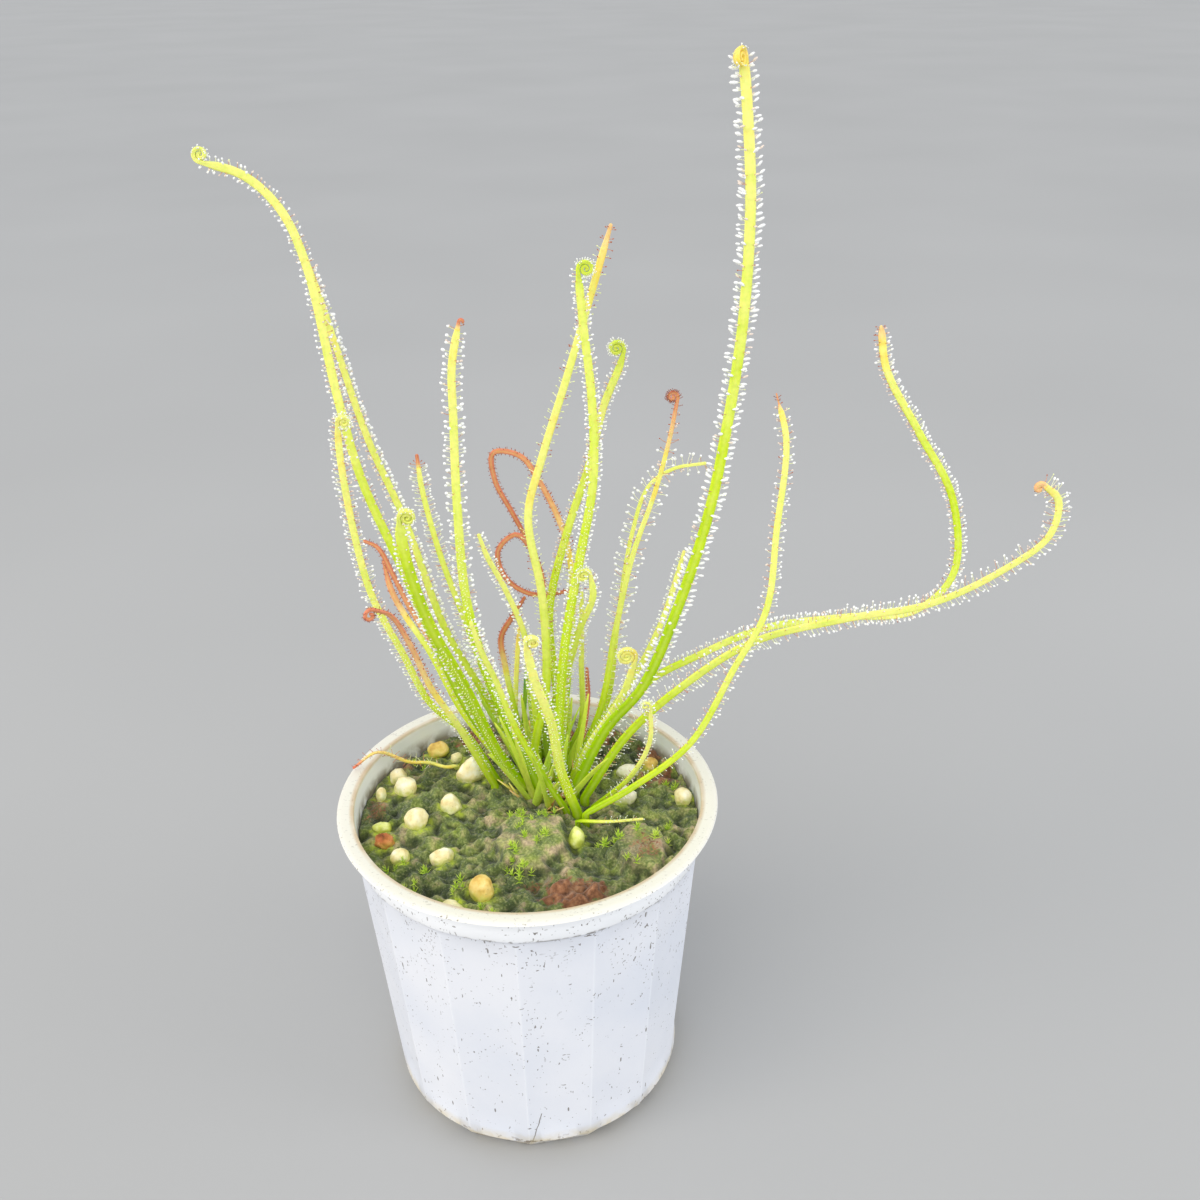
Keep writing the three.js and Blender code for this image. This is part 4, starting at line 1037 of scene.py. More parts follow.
def make_pebbles():
    finishes = {kind: stone(*settings) for kind, settings in STONES.items()}
    for index, (name, entry) in enumerate(PEBBLES.items()):
        x, y, length, depth, height, turn, kind = entry
        level = soil_height(x, y)
        middle = level + height * (0.5 - PEBBLE_SUNK)
        pebble = shaped(bpy.ops.mesh.primitive_ico_sphere_add, subdivisions=4, radius=1)
        tall = height if kind == "peat" else height * PEBBLE_TALLER
        wider = PEBBLE_WIDER / 2 * MM
        bpy.ops.transform.resize(value=(length * wider, depth * wider, tall / 2 * MM))
        bpy.ops.transform.rotate(value=-math.radians(turn), orient_axis="Z",
                                 center_override=(0, 0, 0))
        apply_place()
        weather(pebble, index, PEAT_ROUGH if kind == "peat" else PEBBLE_ROUGH)
        bpy.ops.transform.translate(value=(x * MM, y * MM, middle * MM))
        apply_place()
        damp = [1 - smoothstep(*DAMP_HEIGHTS, v.co.z / MM - level) for v in pebble.data.vertices]
        point_values(pebble, "damp", damp)
        bpy.ops.object.shade_smooth()
        dressed(pebble, "stone_" + name, PEBBLE_SLOTS[kind], [name], finishes[kind])


def any_way(draw):
    return Vector((draw.gauss(0, 1), draw.gauss(0, 1), draw.gauss(0, 1))).normalized()


def weather(pebble, seed, depth):
    """Cuts flat sides on a pebble and roughens it a little."""
    draw = random.Random(40 + seed)
    cuts = [(any_way(draw), draw.uniform(*CUT_DEPTHS)) for _ in range(CUTS)]
    thick_end = Vector((draw.gauss(0, 1), draw.gauss(0, 1), 0)).normalized()
    for vertex in pebble.data.vertices:
        way = vertex.co.normalized()
        limit = min(share / max(way.dot(side), 0.01) for side, share in cuts)
        lumps = rough(*(way * 3.1 + Vector((seed * 7, 0, 0))), 1.0) * depth
        fine = rough(*(way * 9 + Vector((seed * 3, 0, 0))), 1.0) * depth * 0.4
        taper = 1 + 0.12 * way.dot(thick_end)
        vertex.co *= taper * (0.26 + 0.76 * min(limit, 1) + lumps + fine)


# ---- Moss shoots ---------------------------------------------------------------------

# leaflets in a whorl, lean in degrees, height, length
SPRIG_WHORLS = ((4, 66, 0.2, 1.6), (5, 44, 0.8, 1.7), (3, 18, 1.4, 1.5))
TUFT_WHORLS = ((4, 74, 0.0, 0.9), (3, 42, 0.1, 0.8))
SPRIG_LEAFLET, TUFT_LEAFLET = 0.11, 0.16
TUFTS = 1700
TUFT_SPREAD, TUFT_LIGHT = 39.8, 0.65
SPRIG_PLACES = (
    (-2.5, -5.6), (3.6, -6.4), (5.6, -8.4), (-1.8, -10.4), (0.6, -9.6), (-1.4, -14.6),
    (3.2, -15.2), (-3.6, -18.0), (-3.0, -20.0), (-3.0, -24.0), (-0.6, -22.6), (-31, -17.5),
    (-23, -19.6), (26, -11.8), (20.4, -13.6), (17.4, -14.4), (30, -15), (-26, -25), (-14, -27),
    (33, -8), (-28, 24), (24, -22), (-9, -33), (35, 8),
)


def shoot_shape(whorls, wide):
    """One moss shoot of narrow leaflets, in millimetres, with a tone that rises to the tips."""
    points, faces = modelled(bpy.ops.mesh.primitive_cone_add, vertices=3, radius1=wide, radius2=0,
                             depth=1, end_fill_type="NOTHING", location=(0, 0, 0.5))
    draw = random.Random(5)
    shape, shape_faces = [], []
    for tier, (count, lean, height, length) in enumerate(whorls):
        for k in range(count):
            turn = 2 * math.pi * (k + 0.5 * tier) / count + draw.uniform(-0.2, 0.2)
            tilt = math.radians(lean + draw.uniform(-8, 8))
            turned = Matrix.Rotation(turn, 3, "Z") @ Matrix.Rotation(tilt, 3, "Y")
            shape_faces.append(faces + len(shape) * len(points))
            shape.append((np.array(turned) @ (points * length).T).T + (0, 0, height))
    tones = np.tile(0.35 + 0.5 * points[:, 2], len(shape))
    return np.concatenate(shape), np.concatenate(shape_faces), tones


def planted(name, shape, seats, finish):
    """Copies of one shoot at seats (x, y, z, size, turn, lean, lighter), as one mesh."""
    points, faces, tones = shape
    places = np.array([seat[:3] for seat in seats])
    turned = np.array([Matrix.Rotation(seat[4], 3, "Z") @ Matrix.Rotation(seat[5], 3, "X")
                       for seat in seats])
    sizes = np.repeat([[seat[3]] for seat in seats], 3, 1)
    moved, numbered = copies((points, faces), places, turned.transpose(0, 2, 1), sizes)
    piece = mesh_from(name, moved, numbered, smooth=False)
    lighter = np.repeat([seat[6] for seat in seats], len(points))
    point_values(piece, "tone", np.clip(np.tile(tones, len(seats)) + lighter, 0, 1))
    dressed(piece, name, "soil_moss", [], finish)


def plant_moss():
    """Bright shoots in small groups, and dark low tufts all over the open moss."""
    draw = random.Random(11)
    finish = sprig_green()
    seats = []
    for x, y in SPRIG_PLACES:
        for _ in range(draw.choice((2, 3, 3, 4))):
            px, py = x + draw.gauss(0, 0.9), y + draw.gauss(0, 0.9)
            seats.append((px, py, moss_height(px, py) - 0.25, draw.uniform(0.7, 1.1),
                          draw.uniform(0, 6.3), draw.uniform(-0.4, 0.4), draw.uniform(-0.05, 0.2)))
    planted("moss_sprigs", shoot_shape(SPRIG_WHORLS, SPRIG_LEAFLET), seats, finish)
    seats = []
    while len(seats) < TUFTS:
        radius, angle = TUFT_SPREAD * math.sqrt(draw.random()), draw.uniform(0, 2 * math.pi)
        x, y = radius * math.cos(angle), radius * math.sin(angle)
        height, light, tone = moss_at(x, y)
        bare = max(peat_at(x, y), dome(x, y)) >= 0.5
        if light > TUFT_LIGHT and pebble_gap(x, y) > 0.4 and not bare:
            seats.append((x, y, soil_height(x, y) + height - 0.15, draw.uniform(0.3, 0.62),
                          draw.uniform(0, 6.3), draw.uniform(-0.5, 0.5),
                          draw.uniform(-0.58, -0.36) - 0.1 * tone))
    planted("moss_tufts", shoot_shape(TUFT_WHORLS, TUFT_LEAFLET), seats, finish)


# ---- Leaves --------------------------------------------------------------------------

BLADE_FACE, TIP_FACE, TIP_SIDE = 0.55, 0.38, 0.4
THREAD_HALF = 0.16
COIL_THICK, COIL_EYE, COIL_BLEND, COIL_WIDTH = 0.42, 0.2, 4.0, 0.45
COIL_STEPS, OPEN_COIL_PITCH = 26, 0.75
CURVE_PIECES = 14
RING_STEP = 1.0
RING_SIDES = 12
CHANNEL_DEPTH, CHANNEL_WIDTH = 0.5, 0.5
END_SHARES = (0.5, 0.8, 0.96)

# How a leaf and its tentacles are, and below it what some leaves have otherwise
# taper, thread: length over which a plain tip narrows, and that of its thread-like end
# open_coil, coil_thick: whether the tip is an open hook, and half its thickness
# coil_hairs: share of the hairs round a rolled tip that are there, and their length
# reach, apart, head: length, spacing, and width and length of drops, against the others'
# blush: the side, left (-1) or right (1), where the tentacles are mostly short and red
# dew: share of the tentacles that carry dew
# fringe: whether the lower part has a dense short fringe on its front
# bare_tip: whether the dead end has lost its tentacles
USUAL = dict(taper=6, thread=0, open_coil=False, coil_thick=COIL_THICK, coil_hairs=(0.55, 1),
             reach=1, apart=1, head=(1, 1), blush=0, dew=1, fringe=False, bare_tip=False)
HABITS = {
    "leaf_left_longest": dict(apart=1.2, blush=1, coil_hairs=(0.25, 0.6)),
    "leaf_left_second": dict(head=(1.5, 0.85), blush=-1),
    "leaf_left_hooked": dict(reach=1.4, blush=1, fringe=True),
    "leaf_left_wide_coil": dict(fringe=True, coil_hairs=(0.4, 0.6)),
    "leaf_left_brown_tip": dict(reach=1.6, bare_tip=True),
    "leaf_left_upright": dict(open_coil=True, coil_thick=0.36, coil_hairs=(0, 1), reach=1.5,
                              apart=1.5, head=(1.35, 0.95), fringe=True, bare_tip=True),
    "leaf_left_red_hook": dict(open_coil=True, coil_thick=0.46, coil_hairs=(0.4, 0.5)),
    "leaf_left_yellow": dict(reach=0.7, apart=1.6, dew=0.06),
    "leaf_left_over_rim": dict(reach=2.4, dew=0.06),
    "leaf_middle_crossing": dict(reach=1.1, apart=1.8, dew=0.06),
    "leaf_middle_tall_coil": dict(fringe=True),
    "leaf_middle_round_coil": dict(blush=-1, fringe=True),
    "leaf_middle_orange_loop": dict(dew=0.06),
    "leaf_front_coil": dict(fringe=True, coil_hairs=(0.4, 0.7)),
    "leaf_right_red_coil": dict(reach=2.1, apart=2.0, head=(1.3, 0.9), blush=-1,
                                coil_hairs=(0.9, 0.7)),
    "leaf_right_level_tip": dict(reach=2.2, apart=2.0, head=(1.35, 0.9), blush=1),
    "leaf_right_low_coil": dict(fringe=True, coil_hairs=(0.4, 0.7)),
    "leaf_right_tallest": dict(reach=1.5, apart=1.3, head=(1.3, 1.75), coil_hairs=(0.3, 1)),
    "leaf_right_curved": dict(thread=2.6, reach=1.3, apart=1.5, blush=-1),
    "leaf_right_far_hook": dict(taper=1.6, reach=1.25, head=(1.1, 1.1), blush=-1),
    "leaf_right_arching": dict(coil_thick=0.62, coil_hairs=(0, 1), reach=2.0, blush=-1),
    "leaf_right_tiny_coil": dict(open_coil=True, coil_thick=0.3),
    "leaf_front_low": dict(reach=1.6),
}


def smooth_route(route):
    """Points on a centripetal curve through the route."""
    knots = [Vector(p) for p in route]
    knots = [2 * knots[0] - knots[1], *knots, 2 * knots[-1] - knots[-2]]
    points = []
    for p0, p1, p2, p3 in zip(knots, knots[1:], knots[2:], knots[3:]):
        d0, d1, d2 = (math.sqrt((b - a).length) for a, b in ((p0, p1), (p1, p2), (p2, p3)))
        t1 = ((p1 - p0) / d0 - (p2 - p0) / (d0 + d1) + (p2 - p1) / d1) * d1
        t2 = ((p2 - p1) / d1 - (p3 - p1) / (d1 + d2) + (p3 - p2) / d2) * d1
        for k in range(CURVE_PIECES):
            t = k / CURVE_PIECES
            points.append((2 * p1 - 2 * p2 + t1 + t2) * t ** 3
                          + (3 * p2 - 3 * p1 - 2 * t1 - t2) * t ** 2 + t1 * t + p1)
    points.append(knots[-2])
    return np.array(points)


def travel(points):
    """Distance from the first point to each, along the line."""
    steps = np.linalg.norm(np.diff(points, axis=0), axis=1)
    return np.concatenate([[0], np.cumsum(steps)])


def evenly(points, step):
    """The same line with points a step apart, and its length."""
    travelled = travel(points)
    count = max(int(travelled[-1] / step), 3)
    wanted = np.linspace(0, travelled[-1], count + 1)
    return np.stack([np.interp(wanted, travelled, points[:, k]) for k in range(3)], 1), travelled[-1]


def unit(vector):
    return vector / np.linalg.norm(vector)


def frames_along(points):
    """At each point the way along the leaf, its side and its face, without any twist."""
    tangents = np.gradient(points, axis=0)
    tangents /= np.linalg.norm(tangents, axis=1)[:, None]
    side = np.array([1.0, 0, 0])
    sides = []
    for tangent in tangents:
        side = unit(side - tangent * side.dot(tangent))
        sides.append(side)
    sides = np.array(sides)
    return tangents, sides, np.cross(sides, tangents)


class Leaf:
    """Midline, sections and ages of one leaf, from its root in the soil to its tip."""

    def __init__(self, name, entry):
        self.name = name
        self.habit = {**USUAL, **HABITS.get(name, {})}
        (self.foot, self.tip), coil, self.ages, route = entry
        points, self.length = evenly(smooth_route(route), RING_STEP)
        ground = soil_height(points[0][0], points[0][1])
        points[0][2] = max(points[0][2], ground + 0.5)
        root = (points[0][0], points[0][1], ground - ROOT_DEPTH)
        self.points = np.vstack([root, points])
        self.shares = np.concatenate([[0], np.linspace(0, 1, len(points))])
        self.coil_from = len(self.points)
        self.coil_centre = None
        if coil:
            self.roll_up(points, coil)
        self.tangents, self.sides, self.faces = frames_along(self.points)
        self.sizes = np.array([self.section(share) for share in self.shares[:self.coil_from]])
        if coil:
            self.blend_into_coil()
        travelled = travel(self.points)
        self.travelled = travelled - travelled[1]

    def section(self, share):
        """Half the width and half the thickness of the blade."""
        left = self.length * (1 - share)
        side = (self.foot + (self.tip - self.foot) * share) / 2
        if self.coil_centre is None:
            side = TIP_SIDE + (side - TIP_SIDE) * smoothstep(0, self.habit["taper"], left)
        face = BLADE_FACE + (TIP_FACE - BLADE_FACE) * share
        thread = self.habit["thread"]
        full = smoothstep(thread - 0.6, thread + 1.2, left) if thread else 1
        return THREAD_HALF + (side - THREAD_HALF) * full, THREAD_HALF + (face - THREAD_HALF) * full

    def roll_up(self, points, coil):
        """The rolled tip: turns that lie on each other, or an open hook."""
        radius, turns, towards = coil
        tangent = unit(points[-1] - points[-2])
        inward = unit(np.array(towards) - tangent * tangent.dot(towards))
        self.coil_centre = points[-1] + inward * radius
        self.coil_axis = np.cross(tangent, inward)
        if self.habit["open_coil"]:
            pitch = OPEN_COIL_PITCH * radius
        else:
            pitch = 2 * self.habit["coil_thick"]
            turns = (radius - COIL_EYE) / pitch
        angles = np.linspace(0, turns * 2 * math.pi, int(turns * COIL_STEPS))[1:, None]
        reach = radius - pitch * angles / (2 * math.pi)
        rolled = self.coil_centre - inward * reach * np.cos(angles) + tangent * reach * np.sin(angles)
        self.coil_angles = angles[:, 0]
        self.points = np.vstack([self.points, rolled])
        self.shares = np.concatenate([self.shares, np.ones(len(rolled))])

    def blend_into_coil(self):
        """Sections of the rolled tip, as wide along its axis as the blade, and of the way to it."""
        radial = self.habit["coil_thick"]
        axial = max(COIL_WIDTH * self.tip, radial)
        across = abs(self.sides[self.coil_from].dot(self.coil_axis)) > 0.7
        rolled = np.array((axial, radial) if across else (radial, axial))
        away = self.length * (1 - self.shares[:self.coil_from])
        near = np.array([1 - smoothstep(0, COIL_BLEND, distance) for distance in away])[:, None]
        fading = np.linspace(1, 0.8, len(self.coil_angles))[:, None]
        self.sizes = np.vstack([self.sizes * (1 - near) + rolled * near, rolled * fading])

    def age(self, share):
        places, values = zip(*self.ages)
        return np.interp(share, places, values)

    def surface(self):
        """Rows of points round the midline, the first and last of each row the same."""
        turns = np.linspace(0, 2 * math.pi, RING_SIDES + 1)
        across, deep = np.cos(turns), np.sin(turns)
        channel = 1 - CHANNEL_DEPTH * np.exp(-(across / CHANNEL_WIDTH) ** 2)
        deep = deep * np.where(deep > 0, channel, 1)
        points, sizes = self.rounded_end()
        more = len(points) - len(self.points)
        sides, faces = (np.vstack([ways, np.repeat(ways[-1:], more, 0)])
                        for ways in (self.sides, self.faces))
        rows = (points[:, None] + sides[:, None] * (sizes[:, 0:1] * across)[..., None]
                + faces[:, None] * (sizes[:, 1:2] * deep)[..., None])
        return rows, np.abs(across)

    def rounded_end(self):
        """The midline and sections with a few more rings that round off the tip."""
        shares = np.array(END_SHARES)
        thick = self.sizes[-1].min()
        more = self.points[-1] + self.tangents[-1] * (shares * thick)[:, None]
        smaller = self.sizes[-1] * np.sqrt(1 - shares ** 2)[:, None]
        return np.vstack([self.points, more]), np.vstack([self.sizes, smaller])


def make_blade(leaf, skin):
    """A grid as long as the leaf, rolled round its midline and closed at both ends."""
    rows, across = leaf.surface()
    blade = shaped(bpy.ops.mesh.primitive_grid_add, x_subdivisions=RING_SIDES,
                   y_subdivisions=len(rows) - 1, size=1)
    flat = np.empty(len(blade.data.vertices) * 3, np.float32)
    blade.data.vertices.foreach_get("co", flat)
    flat = flat.reshape(-1, 3) + 0.5
    column = np.rint(flat[:, 0] * RING_SIDES).astype(int)
    row = np.rint(flat[:, 1] * (len(rows) - 1)).astype(int)
    blade.data.vertices.foreach_set("co", (rows[row, column] * MM).astype(np.float32).ravel())
    shares = np.concatenate([leaf.shares, np.ones(len(rows) - len(leaf.shares))])
    point_values(blade, "age", leaf.age(shares)[row])
    point_values(blade, "across", across[column])
    edit_all()
    bpy.ops.mesh.remove_doubles(threshold=0.000001)
    bpy.ops.mesh.fill_holes(sides=RING_SIDES)
    close_outward()
    bpy.ops.object.shade_smooth()
    dressed(blade, leaf.name + "_blade", slot_of(leaf.name), [leaf.name], skin)


def slot_of(name):
    for slot, names in LEAF_SLOTS.items():
        if name in names:
            return slot
    return "leaf_yellow_green"


# ---- Tentacles and dew ---------------------------------------------------------------

# degrees round from the blade's edge towards its front, spacing, reach, share that is red
ROWS = (
    (0, 1.02, (0.7, 1.2), 0.08),
    (-38, 1.9, (0.75, 1.25), 0.3),
    (36, 3.2, (0.4, 0.8), 0.6),
    (72, 0.9, (0.3, 0.55), 0.0),
)
FACE_ROW = 60
FRINGE_SHARE = 0.6
TENTACLE_START = 6.0
YOUNG, GROWN, YOUNG_REACH = 14.0, 45.0, 0.72
FADING, DEAD_AGE = (0.52, 0.62), 0.7
WITHERED_FROM, WITHERED = 0.54, 0.55
BLUSH_SHARE, RED_HEAD = 0.7, 0.7
TURN_SPREAD, LEANS, BENDS = 7, (-0.05, 0.3), (-0.05, 0.3)
LEAF_CLEAR, DROP_ROOM = 1.35, 0.4
COIL_OUTSIDE = 5.4
COIL_TURNS, COIL_TURN_SPREAD, COIL_REACHES, COIL_HEAD = (-60, -20, 20, 60), 8, (0.5, 0.9), 0.72
STALK_RADII = (0.085, 0.05)
DROP_NARROWING, DROP_SEAT = 0.35, 0.35
DROP_WIDTHS, DROP_LENGTHS, FRINGE_DROP = (0.2, 0.3), (1.05, 1.6), 0.6
WET_SHARE, WET_FRINGE = 0.96, 0.2
GLAND, DEAD_GLAND, GLAND_LENGTH = 0.14, 0.1, 1.6
# places in the ramps of the stalks, glands and drops
PALE_TONES, RED_TONE, DEAD_TONE = (0.05, 0.35), 0.7, 0.95
RED_STALK, PALE_GLAND, RED_GLAND, DEAD_GLAND_TONE = 0.68, 0.1, 0.8, 0.97
STALK_FINISH, DEW_FINISH = 0, 1


def tentacle_shapes():
    """A stalk, a gland, and a dew drop that narrows towards the stalk, each one unit long."""
    foot, head = STALK_RADII
    stalk, _ = modelled(bpy.ops.mesh.primitive_cone_add, vertices=3, radius1=foot, radius2=head,
                        depth=1, end_fill_type="NOTHING", location=(0, 0, 0.5))
    middle = (stalk[0::2] + stalk[1::2]) / 2
    points = np.vstack([stalk[0::2], middle, stalk[1::2]])
    points = points[np.argsort(points[:, 2], kind="stable")]
    corners = [(3 * tier + k, 3 * tier + (k + 1) % 3) for tier in (0, 1) for k in range(3)]
    faces = np.array([(a, b, a + 3) for a, b in corners] + [(b, b + 3, a + 3) for a, b in corners])
    gland = modelled(bpy.ops.mesh.primitive_ico_sphere_add, subdivisions=1, radius=1)
    large = modelled(bpy.ops.mesh.primitive_uv_sphere_add, segments=8, ring_count=4, radius=1)
    small = modelled(bpy.ops.mesh.primitive_uv_sphere_add, segments=6, ring_count=3, radius=1)
    for drop, _ in (large, small):
        drop[:, :2] *= np.where(drop[:, 2:] < 0, 1 + DROP_NARROWING * drop[:, 2:], 1)
    return {"stalk": (points, faces), "gland": gland, "large": large, "small": small}


def seat_at(leaf, k, share, turn, lean):
    """Root, way out, and way along the leaf, of a tentacle at a turn round the blade."""
    centre = leaf.points[k - 1] * (1 - share) + leaf.points[k] * share
    side, face, tangent = leaf.sides[k], leaf.faces[k], leaf.tangents[k]
    out = math.cos(turn) * side + math.sin(turn) * face
    depth = 0.75 * (leaf.sizes[k][0] * abs(math.cos(turn)) + leaf.sizes[k][1] * abs(math.sin(turn)))
    way = unit(out + tangent * lean)
    return centre + out * depth, way, unit(tangent - way * tangent.dot(way))


def blade_seats(leaf, draw, others):
    """Rows of tentacles along both edges and the front of the blade."""
    habit, seats = leaf.habit, []
    total = leaf.travelled[leaf.coil_from - 1]
    for turn, spacing, reaches, red_share in ROWS:
        fringe = turn > FACE_ROW
        if fringe and not habit["fringe"]:
            continue
        spacing *= 1 if fringe else habit["apart"]
        end = total * (FRINGE_SHARE if fringe else 1)
        for mirrored in (False, True):
            along = TENTACLE_START + draw.uniform(0, spacing)
            while along < end:
                k = min(int(np.searchsorted(leaf.travelled, along)), leaf.coil_from - 1)
                share = (along - leaf.travelled[k - 1]) / (leaf.travelled[k] - leaf.travelled[k - 1])
                angle = math.radians(turn + draw.gauss(0, TURN_SPREAD))
                angle = math.pi - angle if mirrored else angle
                age = leaf.age(along / total)
                grown = smoothstep(YOUNG, GROWN, along)
                root, way, up = seat_at(leaf, k, share, angle, draw.uniform(*LEANS))
                blushed = way[0] * habit["blush"] > 0.3 and draw.random() < BLUSH_SHARE
                reach = draw.uniform(*reaches) * (YOUNG_REACH + (1 - YOUNG_REACH) * grown)
                reach *= 1 if fringe or blushed else habit["reach"]
                reach *= 1 - WITHERED * smoothstep(WITHERED_FROM, DEAD_AGE, age)
                red = blushed or draw.random() < red_share + smoothstep(*FADING, age)
                wide, long = habit["head"]
                wanted = {"root": root, "way": way, "up": up, "reach": reach, "age": age,
                          "grown": grown, "red": red, "bend": reach * draw.uniform(*BENDS),
                          "face": fringe, "wide": RED_HEAD * wide if red else wide,
                          "long": long, "dew": habit["dew"]}
                tip = root + way * (reach + DROP_ROOM)
                bare = age > DEAD_AGE and habit["bare_tip"]
                if others.find(Vector(tip))[2] > LEAF_CLEAR and in_the_open(tip) and not bare:
                    seats.append(wanted)
                along += spacing * draw.uniform(0.8, 1.2)
    return seats


def coil_seats(leaf, draw):
    """Short tentacles round the outside of a rolled tip."""
    seats = []
    kept, shortened = leaf.habit["coil_hairs"]
    outside = leaf.coil_from + int((leaf.coil_angles <= COIL_OUTSIDE).sum())
    for k in range(leaf.coil_from, outside):
        away, tangent = unit(leaf.points[k] - leaf.coil_centre), leaf.tangents[k]
        for turn in COIL_TURNS:
            if draw.random() > kept:
                continue
            lean = math.radians(turn + draw.gauss(0, COIL_TURN_SPREAD))
            out = math.cos(lean) * away * COIL_THICK + math.sin(lean) * leaf.coil_axis * 0.4 * leaf.tip
            way = unit(out + 0.2 * tangent)
            reach = draw.uniform(*COIL_REACHES) * shortened
            seats.append({"root": leaf.points[k] + 0.8 * out, "way": way,
                          "up": unit(tangent - way * tangent.dot(way)), "reach": reach,
                          "age": leaf.age(1.0), "grown": 0.6, "red": False, "bend": 0.1 * reach,
                          "face": False, "wide": COIL_HEAD, "long": 1, "dew": 1})
    return seats


def in_the_open(tip):
    """Whether a tentacle's end is clear of the rim and of the soil."""
    at_rim = math.hypot(tip[0], tip[1]) > MOUTH_RADIUS - 1 and tip[2] < HEIGHT + 0.8
    return not at_rim and tip[2] > soil_height(tip[0], tip[1]) + 1.0


class Heap:
    """Copied shapes gathered into one mesh, with a finish and a tone for each."""

    def __init__(self):
        self.points, self.faces, self.finishes, self.tones = [], [], [], []
        self.count = 0

    def add(self, shape, places, axes, scales, finish, tones, bends=None):
        if len(places) == 0:
            return
        points, faces = copies(shape, places, axes, scales, bends)
        self.points.append(points)
        self.faces.append(faces + self.count)
        self.finishes.append(np.full(len(faces), finish))
        self.tones.append(np.repeat(tones, len(shape[0])))
        self.count += len(points)

    def made(self, name):
        piece = mesh_from(name, np.concatenate(self.points), np.concatenate(self.faces),
                          np.concatenate(self.finishes))
        point_values(piece, "tone", np.concatenate(self.tones))
        return piece


def column(seats, key):
    return np.array([seat[key] for seat in seats])


def drawn(draw, low, high, count):
    return np.array([draw.uniform(low, high) for _ in range(count)])


def tentacle_heap(seats, shapes, draw):
    """All tentacles of a leaf: stalks, glands, and dew on those that are alive."""
    roots, ways, ups, reach, bend, age, grown, face = (
        column(seats, key) for key in ("root", "way", "up", "reach", "bend", "age", "grown", "face"))
    count = len(seats)
    ones = np.ones(count)
    axes = np.stack([np.cross(ups, ways), ups, ways], 1)
    dead = age > DEAD_AGE
    red = column(seats, "red") & ~dead
    pale = drawn(draw, *PALE_TONES, count)
    tone = np.where(dead, DEAD_TONE, np.where(red, RED_TONE, pale))
    heap = Heap()
    heap.add(shapes["stalk"], roots, axes, np.stack([ones, ones, reach], 1), STALK_FINISH,
             np.where(red, RED_STALK, tone), bend)

    ends = roots + ways * reach[:, None] + ups * bend[:, None]
    end_ways = ways * reach[:, None] + 2 * ups * bend[:, None]
    end_ways /= np.linalg.norm(end_ways, axis=1)[:, None]
    end_ups = np.cross(end_ways, axes[:, 0])
    end_axes = np.stack([np.cross(end_ups, end_ways), end_ups, end_ways], 1)
    alive = np.clip((FADING[1] - age) / (FADING[1] - FADING[0]), 0.15, 1)
    damp = np.where(face, WET_FRINGE, WET_SHARE) * alive * column(seats, "dew")
    wet = ~dead & (drawn(draw, 0, 1, count) < damp)
    bare = ~wet
    wide = drawn(draw, *DROP_WIDTHS, count) * (0.45 + 0.55 * grown) * column(seats, "wide")
    wide = np.where(face, FRINGE_DROP * wide, wide)
    long = wide * drawn(draw, *DROP_LENGTHS, count) * column(seats, "long")
    small = np.where(dead, DEAD_GLAND, GLAND) * (0.6 + 0.4 * grown)
    gland_tone = np.where(dead, DEAD_GLAND_TONE, np.where(red, RED_GLAND, PALE_GLAND))
    heap.add(shapes["gland"], ends[bare], end_axes[bare],
             np.stack([small, small, small * GLAND_LENGTH], 1)[bare], STALK_FINISH, gland_tone[bare])
    middles = ends - end_ways * (DROP_SEAT * long)[:, None]
    for shape, chosen in (("large", wet & ~face), ("small", wet & face)):
        heap.add(shapes[shape], middles[chosen], end_axes[chosen],
                 np.stack([wide, wide, long], 1)[chosen], DEW_FINISH, tone[chosen])
    return heap


def points_near(leaves, left_out):
    """The other leaves' midlines, to keep tentacles clear of them."""
    points = [p for leaf in leaves if leaf is not left_out for p in leaf.points]
    tree = kdtree.KDTree(len(points))
    for k, point in enumerate(points):
        tree.insert(Vector(point), k)
    tree.balance()
    return tree


def grow_leaves():
    skin, stalks, dew = leaf_skin(), stalk_skin(), dew_drop()
    old_stubs(skin)
    crown_straps(skin)
    shapes = tentacle_shapes()
    leaves = [Leaf(name, entry) for name, entry in LEAVES.items()]
    for index, leaf in enumerate(leaves):
        make_blade(leaf, skin)
        draw = random.Random(100 + index)
        seats = blade_seats(leaf, draw, points_near(leaves, leaf))
        if leaf.coil_centre is not None:
            seats += coil_seats(leaf, draw)
        if seats:
            name = leaf.name + "_tentacles"
            hairs = tentacle_heap(seats, shapes, draw).made(name)
            dressed(hairs, name, slot_of(leaf.name), [leaf.name], stalks, dew)


# ---- Short leaves and stubs at the crown ---------------------------------------------

STRAP_WIDTHS = (1.0, 1.0, 0.96, 0.9, 0.82, 0.72, 0.6, 0.44, 0.2)
STRAPS, STRAP_MIDDLE, STRAP_SPREAD, STRAP_DEPTH = 30, (5, 13), (6.5, 11), 1.5
STRAP_SIDES, STRAP_THICK, STRAP_LENGTHS = (0.75, 1.1), 0.42, (10, 34)
STRAP_BENDS, STRAP_AGES = (-4, 1.5), (0.15, 0.38)
STUBS, STUB_MIDDLE, STUB_SPREAD, STUB_DEPTH = 30, (5, 11), (11, 12), 0.3
STUB_SIDES, STUB_THICK, STUB_LENGTHS = (0.35, 0.9), 0.3, (3, 8)
STUB_BENDS, STUB_AGES = (-1.2, 1.2), (0.52, 0.84)


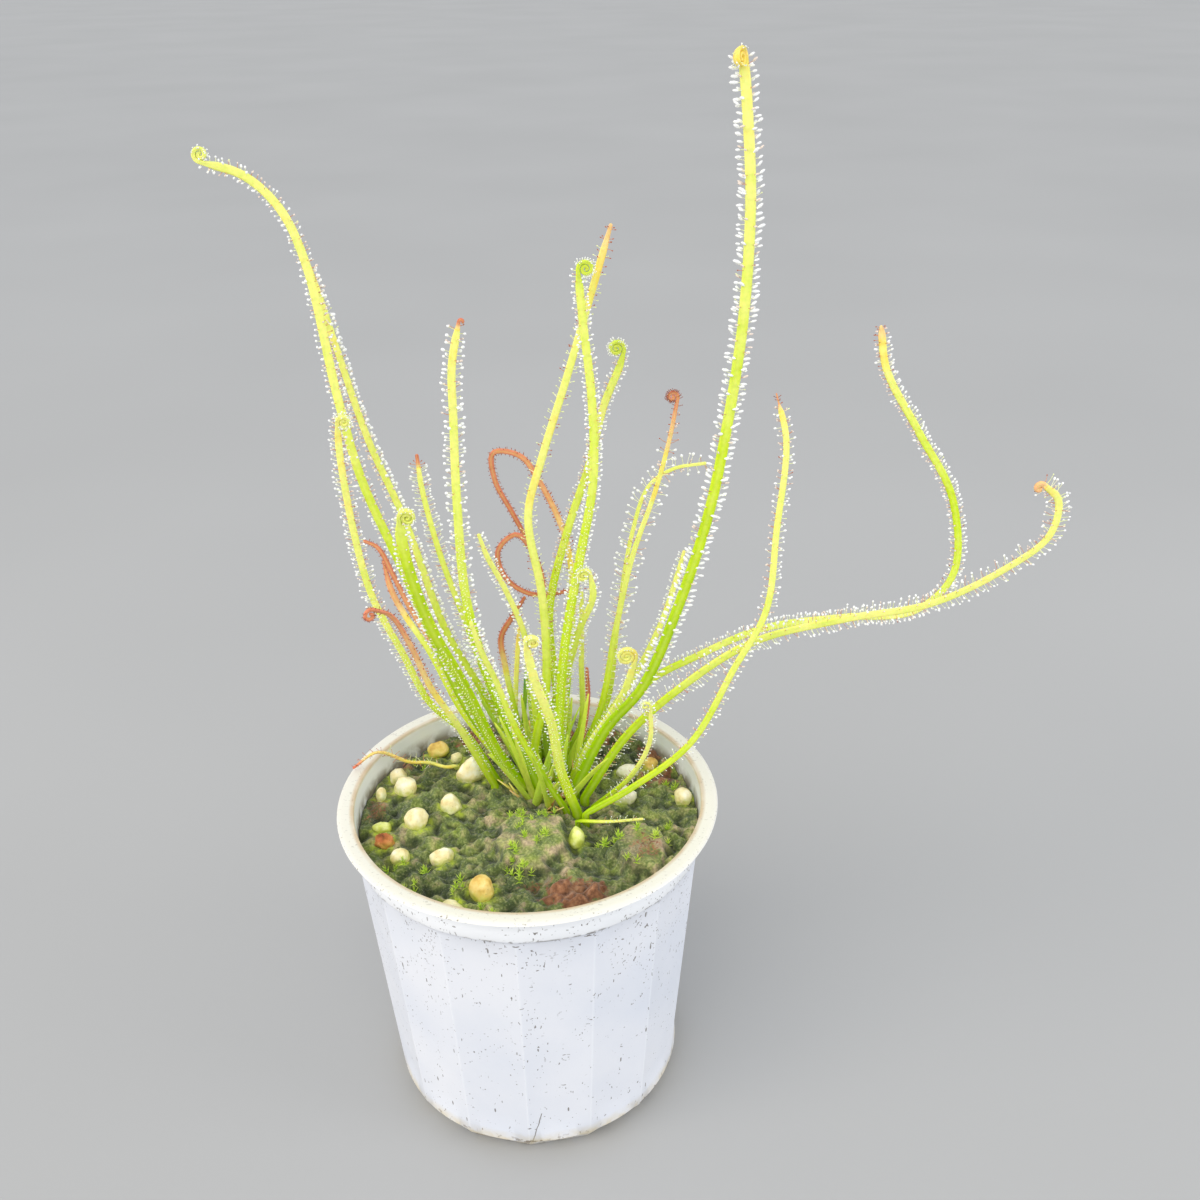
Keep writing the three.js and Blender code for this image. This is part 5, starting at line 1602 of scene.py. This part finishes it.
def strap_shape():
    """A short flat blade, one unit long, drawn up from a ring and narrowed to its end."""
    shape = shaped(bpy.ops.mesh.primitive_circle_add, vertices=8, radius=1, fill_type="NOTHING")
    edit_all()
    for before, after in zip(STRAP_WIDTHS, STRAP_WIDTHS[1:]):
        draw_up(1 / (len(STRAP_WIDTHS) - 1), after / before)
    bpy.ops.mesh.edge_face_add()
    close_outward()
    return taken_out(shape)


def crowd(name, shape, growths, slot, skin):
    """Copies of a shape as one piece, each with its place, axes, scales, bend and age."""
    places, axes, scales, bends, ages = (np.array(values) for values in zip(*growths))
    heap = Heap()
    heap.add(shape, places, axes, scales, 0, ages, bends)
    piece = heap.made(name)
    point_values(piece, "age", np.concatenate(heap.tones))
    dressed(piece, name, slot, [], skin)


def crown_straps(skin):
    """Young and broken short leaves that crowd the crown between the long ones."""
    draw = random.Random(31)
    growths = []
    for _ in range(STRAPS):
        turn = draw.uniform(0, 2 * math.pi)
        far = math.sqrt(draw.random())
        x = STRAP_MIDDLE[0] + STRAP_SPREAD[0] * math.cos(turn) * far
        y = STRAP_MIDDLE[1] + STRAP_SPREAD[1] * math.sin(turn) * far
        way = unit(np.array([0.06 * (x - 5) + draw.gauss(0, 0.16), 0.03 * (y - 15), 1.0]))
        side = unit(np.array([1, draw.gauss(0, 0.3), 0]) - way * way[0])
        growths.append(((x, y, soil_height(x, y) - STRAP_DEPTH), (side, np.cross(way, side), way),
                        (draw.uniform(*STRAP_SIDES), STRAP_THICK, draw.uniform(*STRAP_LENGTHS)),
                        draw.uniform(*STRAP_BENDS), draw.uniform(*STRAP_AGES)))
    crowd("crown_straps", strap_shape(), growths, "leaf_green", skin)


def old_stubs(skin):
    """Dry ends and scales of old leaves round the crown."""
    stub = modelled(bpy.ops.mesh.primitive_cone_add, vertices=5, radius1=1, radius2=0.25,
                    depth=1, end_fill_type="TRIFAN", location=(0, 0, 0.5))
    draw = random.Random(77)
    growths = []
    for _ in range(STUBS):
        turn = draw.uniform(0, 2 * math.pi)
        x = STUB_MIDDLE[0] + STUB_SPREAD[0] * math.cos(turn) * draw.random()
        y = STUB_MIDDLE[1] + STUB_SPREAD[1] * math.sin(turn) * draw.random()
        out = 0.9 / 12 * np.array([x - STUB_MIDDLE[0], y - STUB_MIDDLE[1], 0])
        way = unit(out + np.array([draw.gauss(0, 0.3), draw.gauss(0, 0.3), 0.75]))
        up = unit(np.cross(way, (draw.gauss(0, 1), draw.gauss(0, 1), 0.3)))
        growths.append(((x, y, soil_height(x, y) - STUB_DEPTH), (np.cross(up, way), up, way),
                        (draw.uniform(*STUB_SIDES), STUB_THICK, draw.uniform(*STUB_LENGTHS)),
                        draw.uniform(*STUB_BENDS), draw.uniform(*STUB_AGES)))
    crowd("old_leaf_stubs", stub, growths, "leaf_dead", skin)


# ---- The whole -----------------------------------------------------------------------

set_camera()
set_studio()
make_pot()
make_soil()
make_pebbles()
plant_moss()
grow_leaves()
nothing_selected()
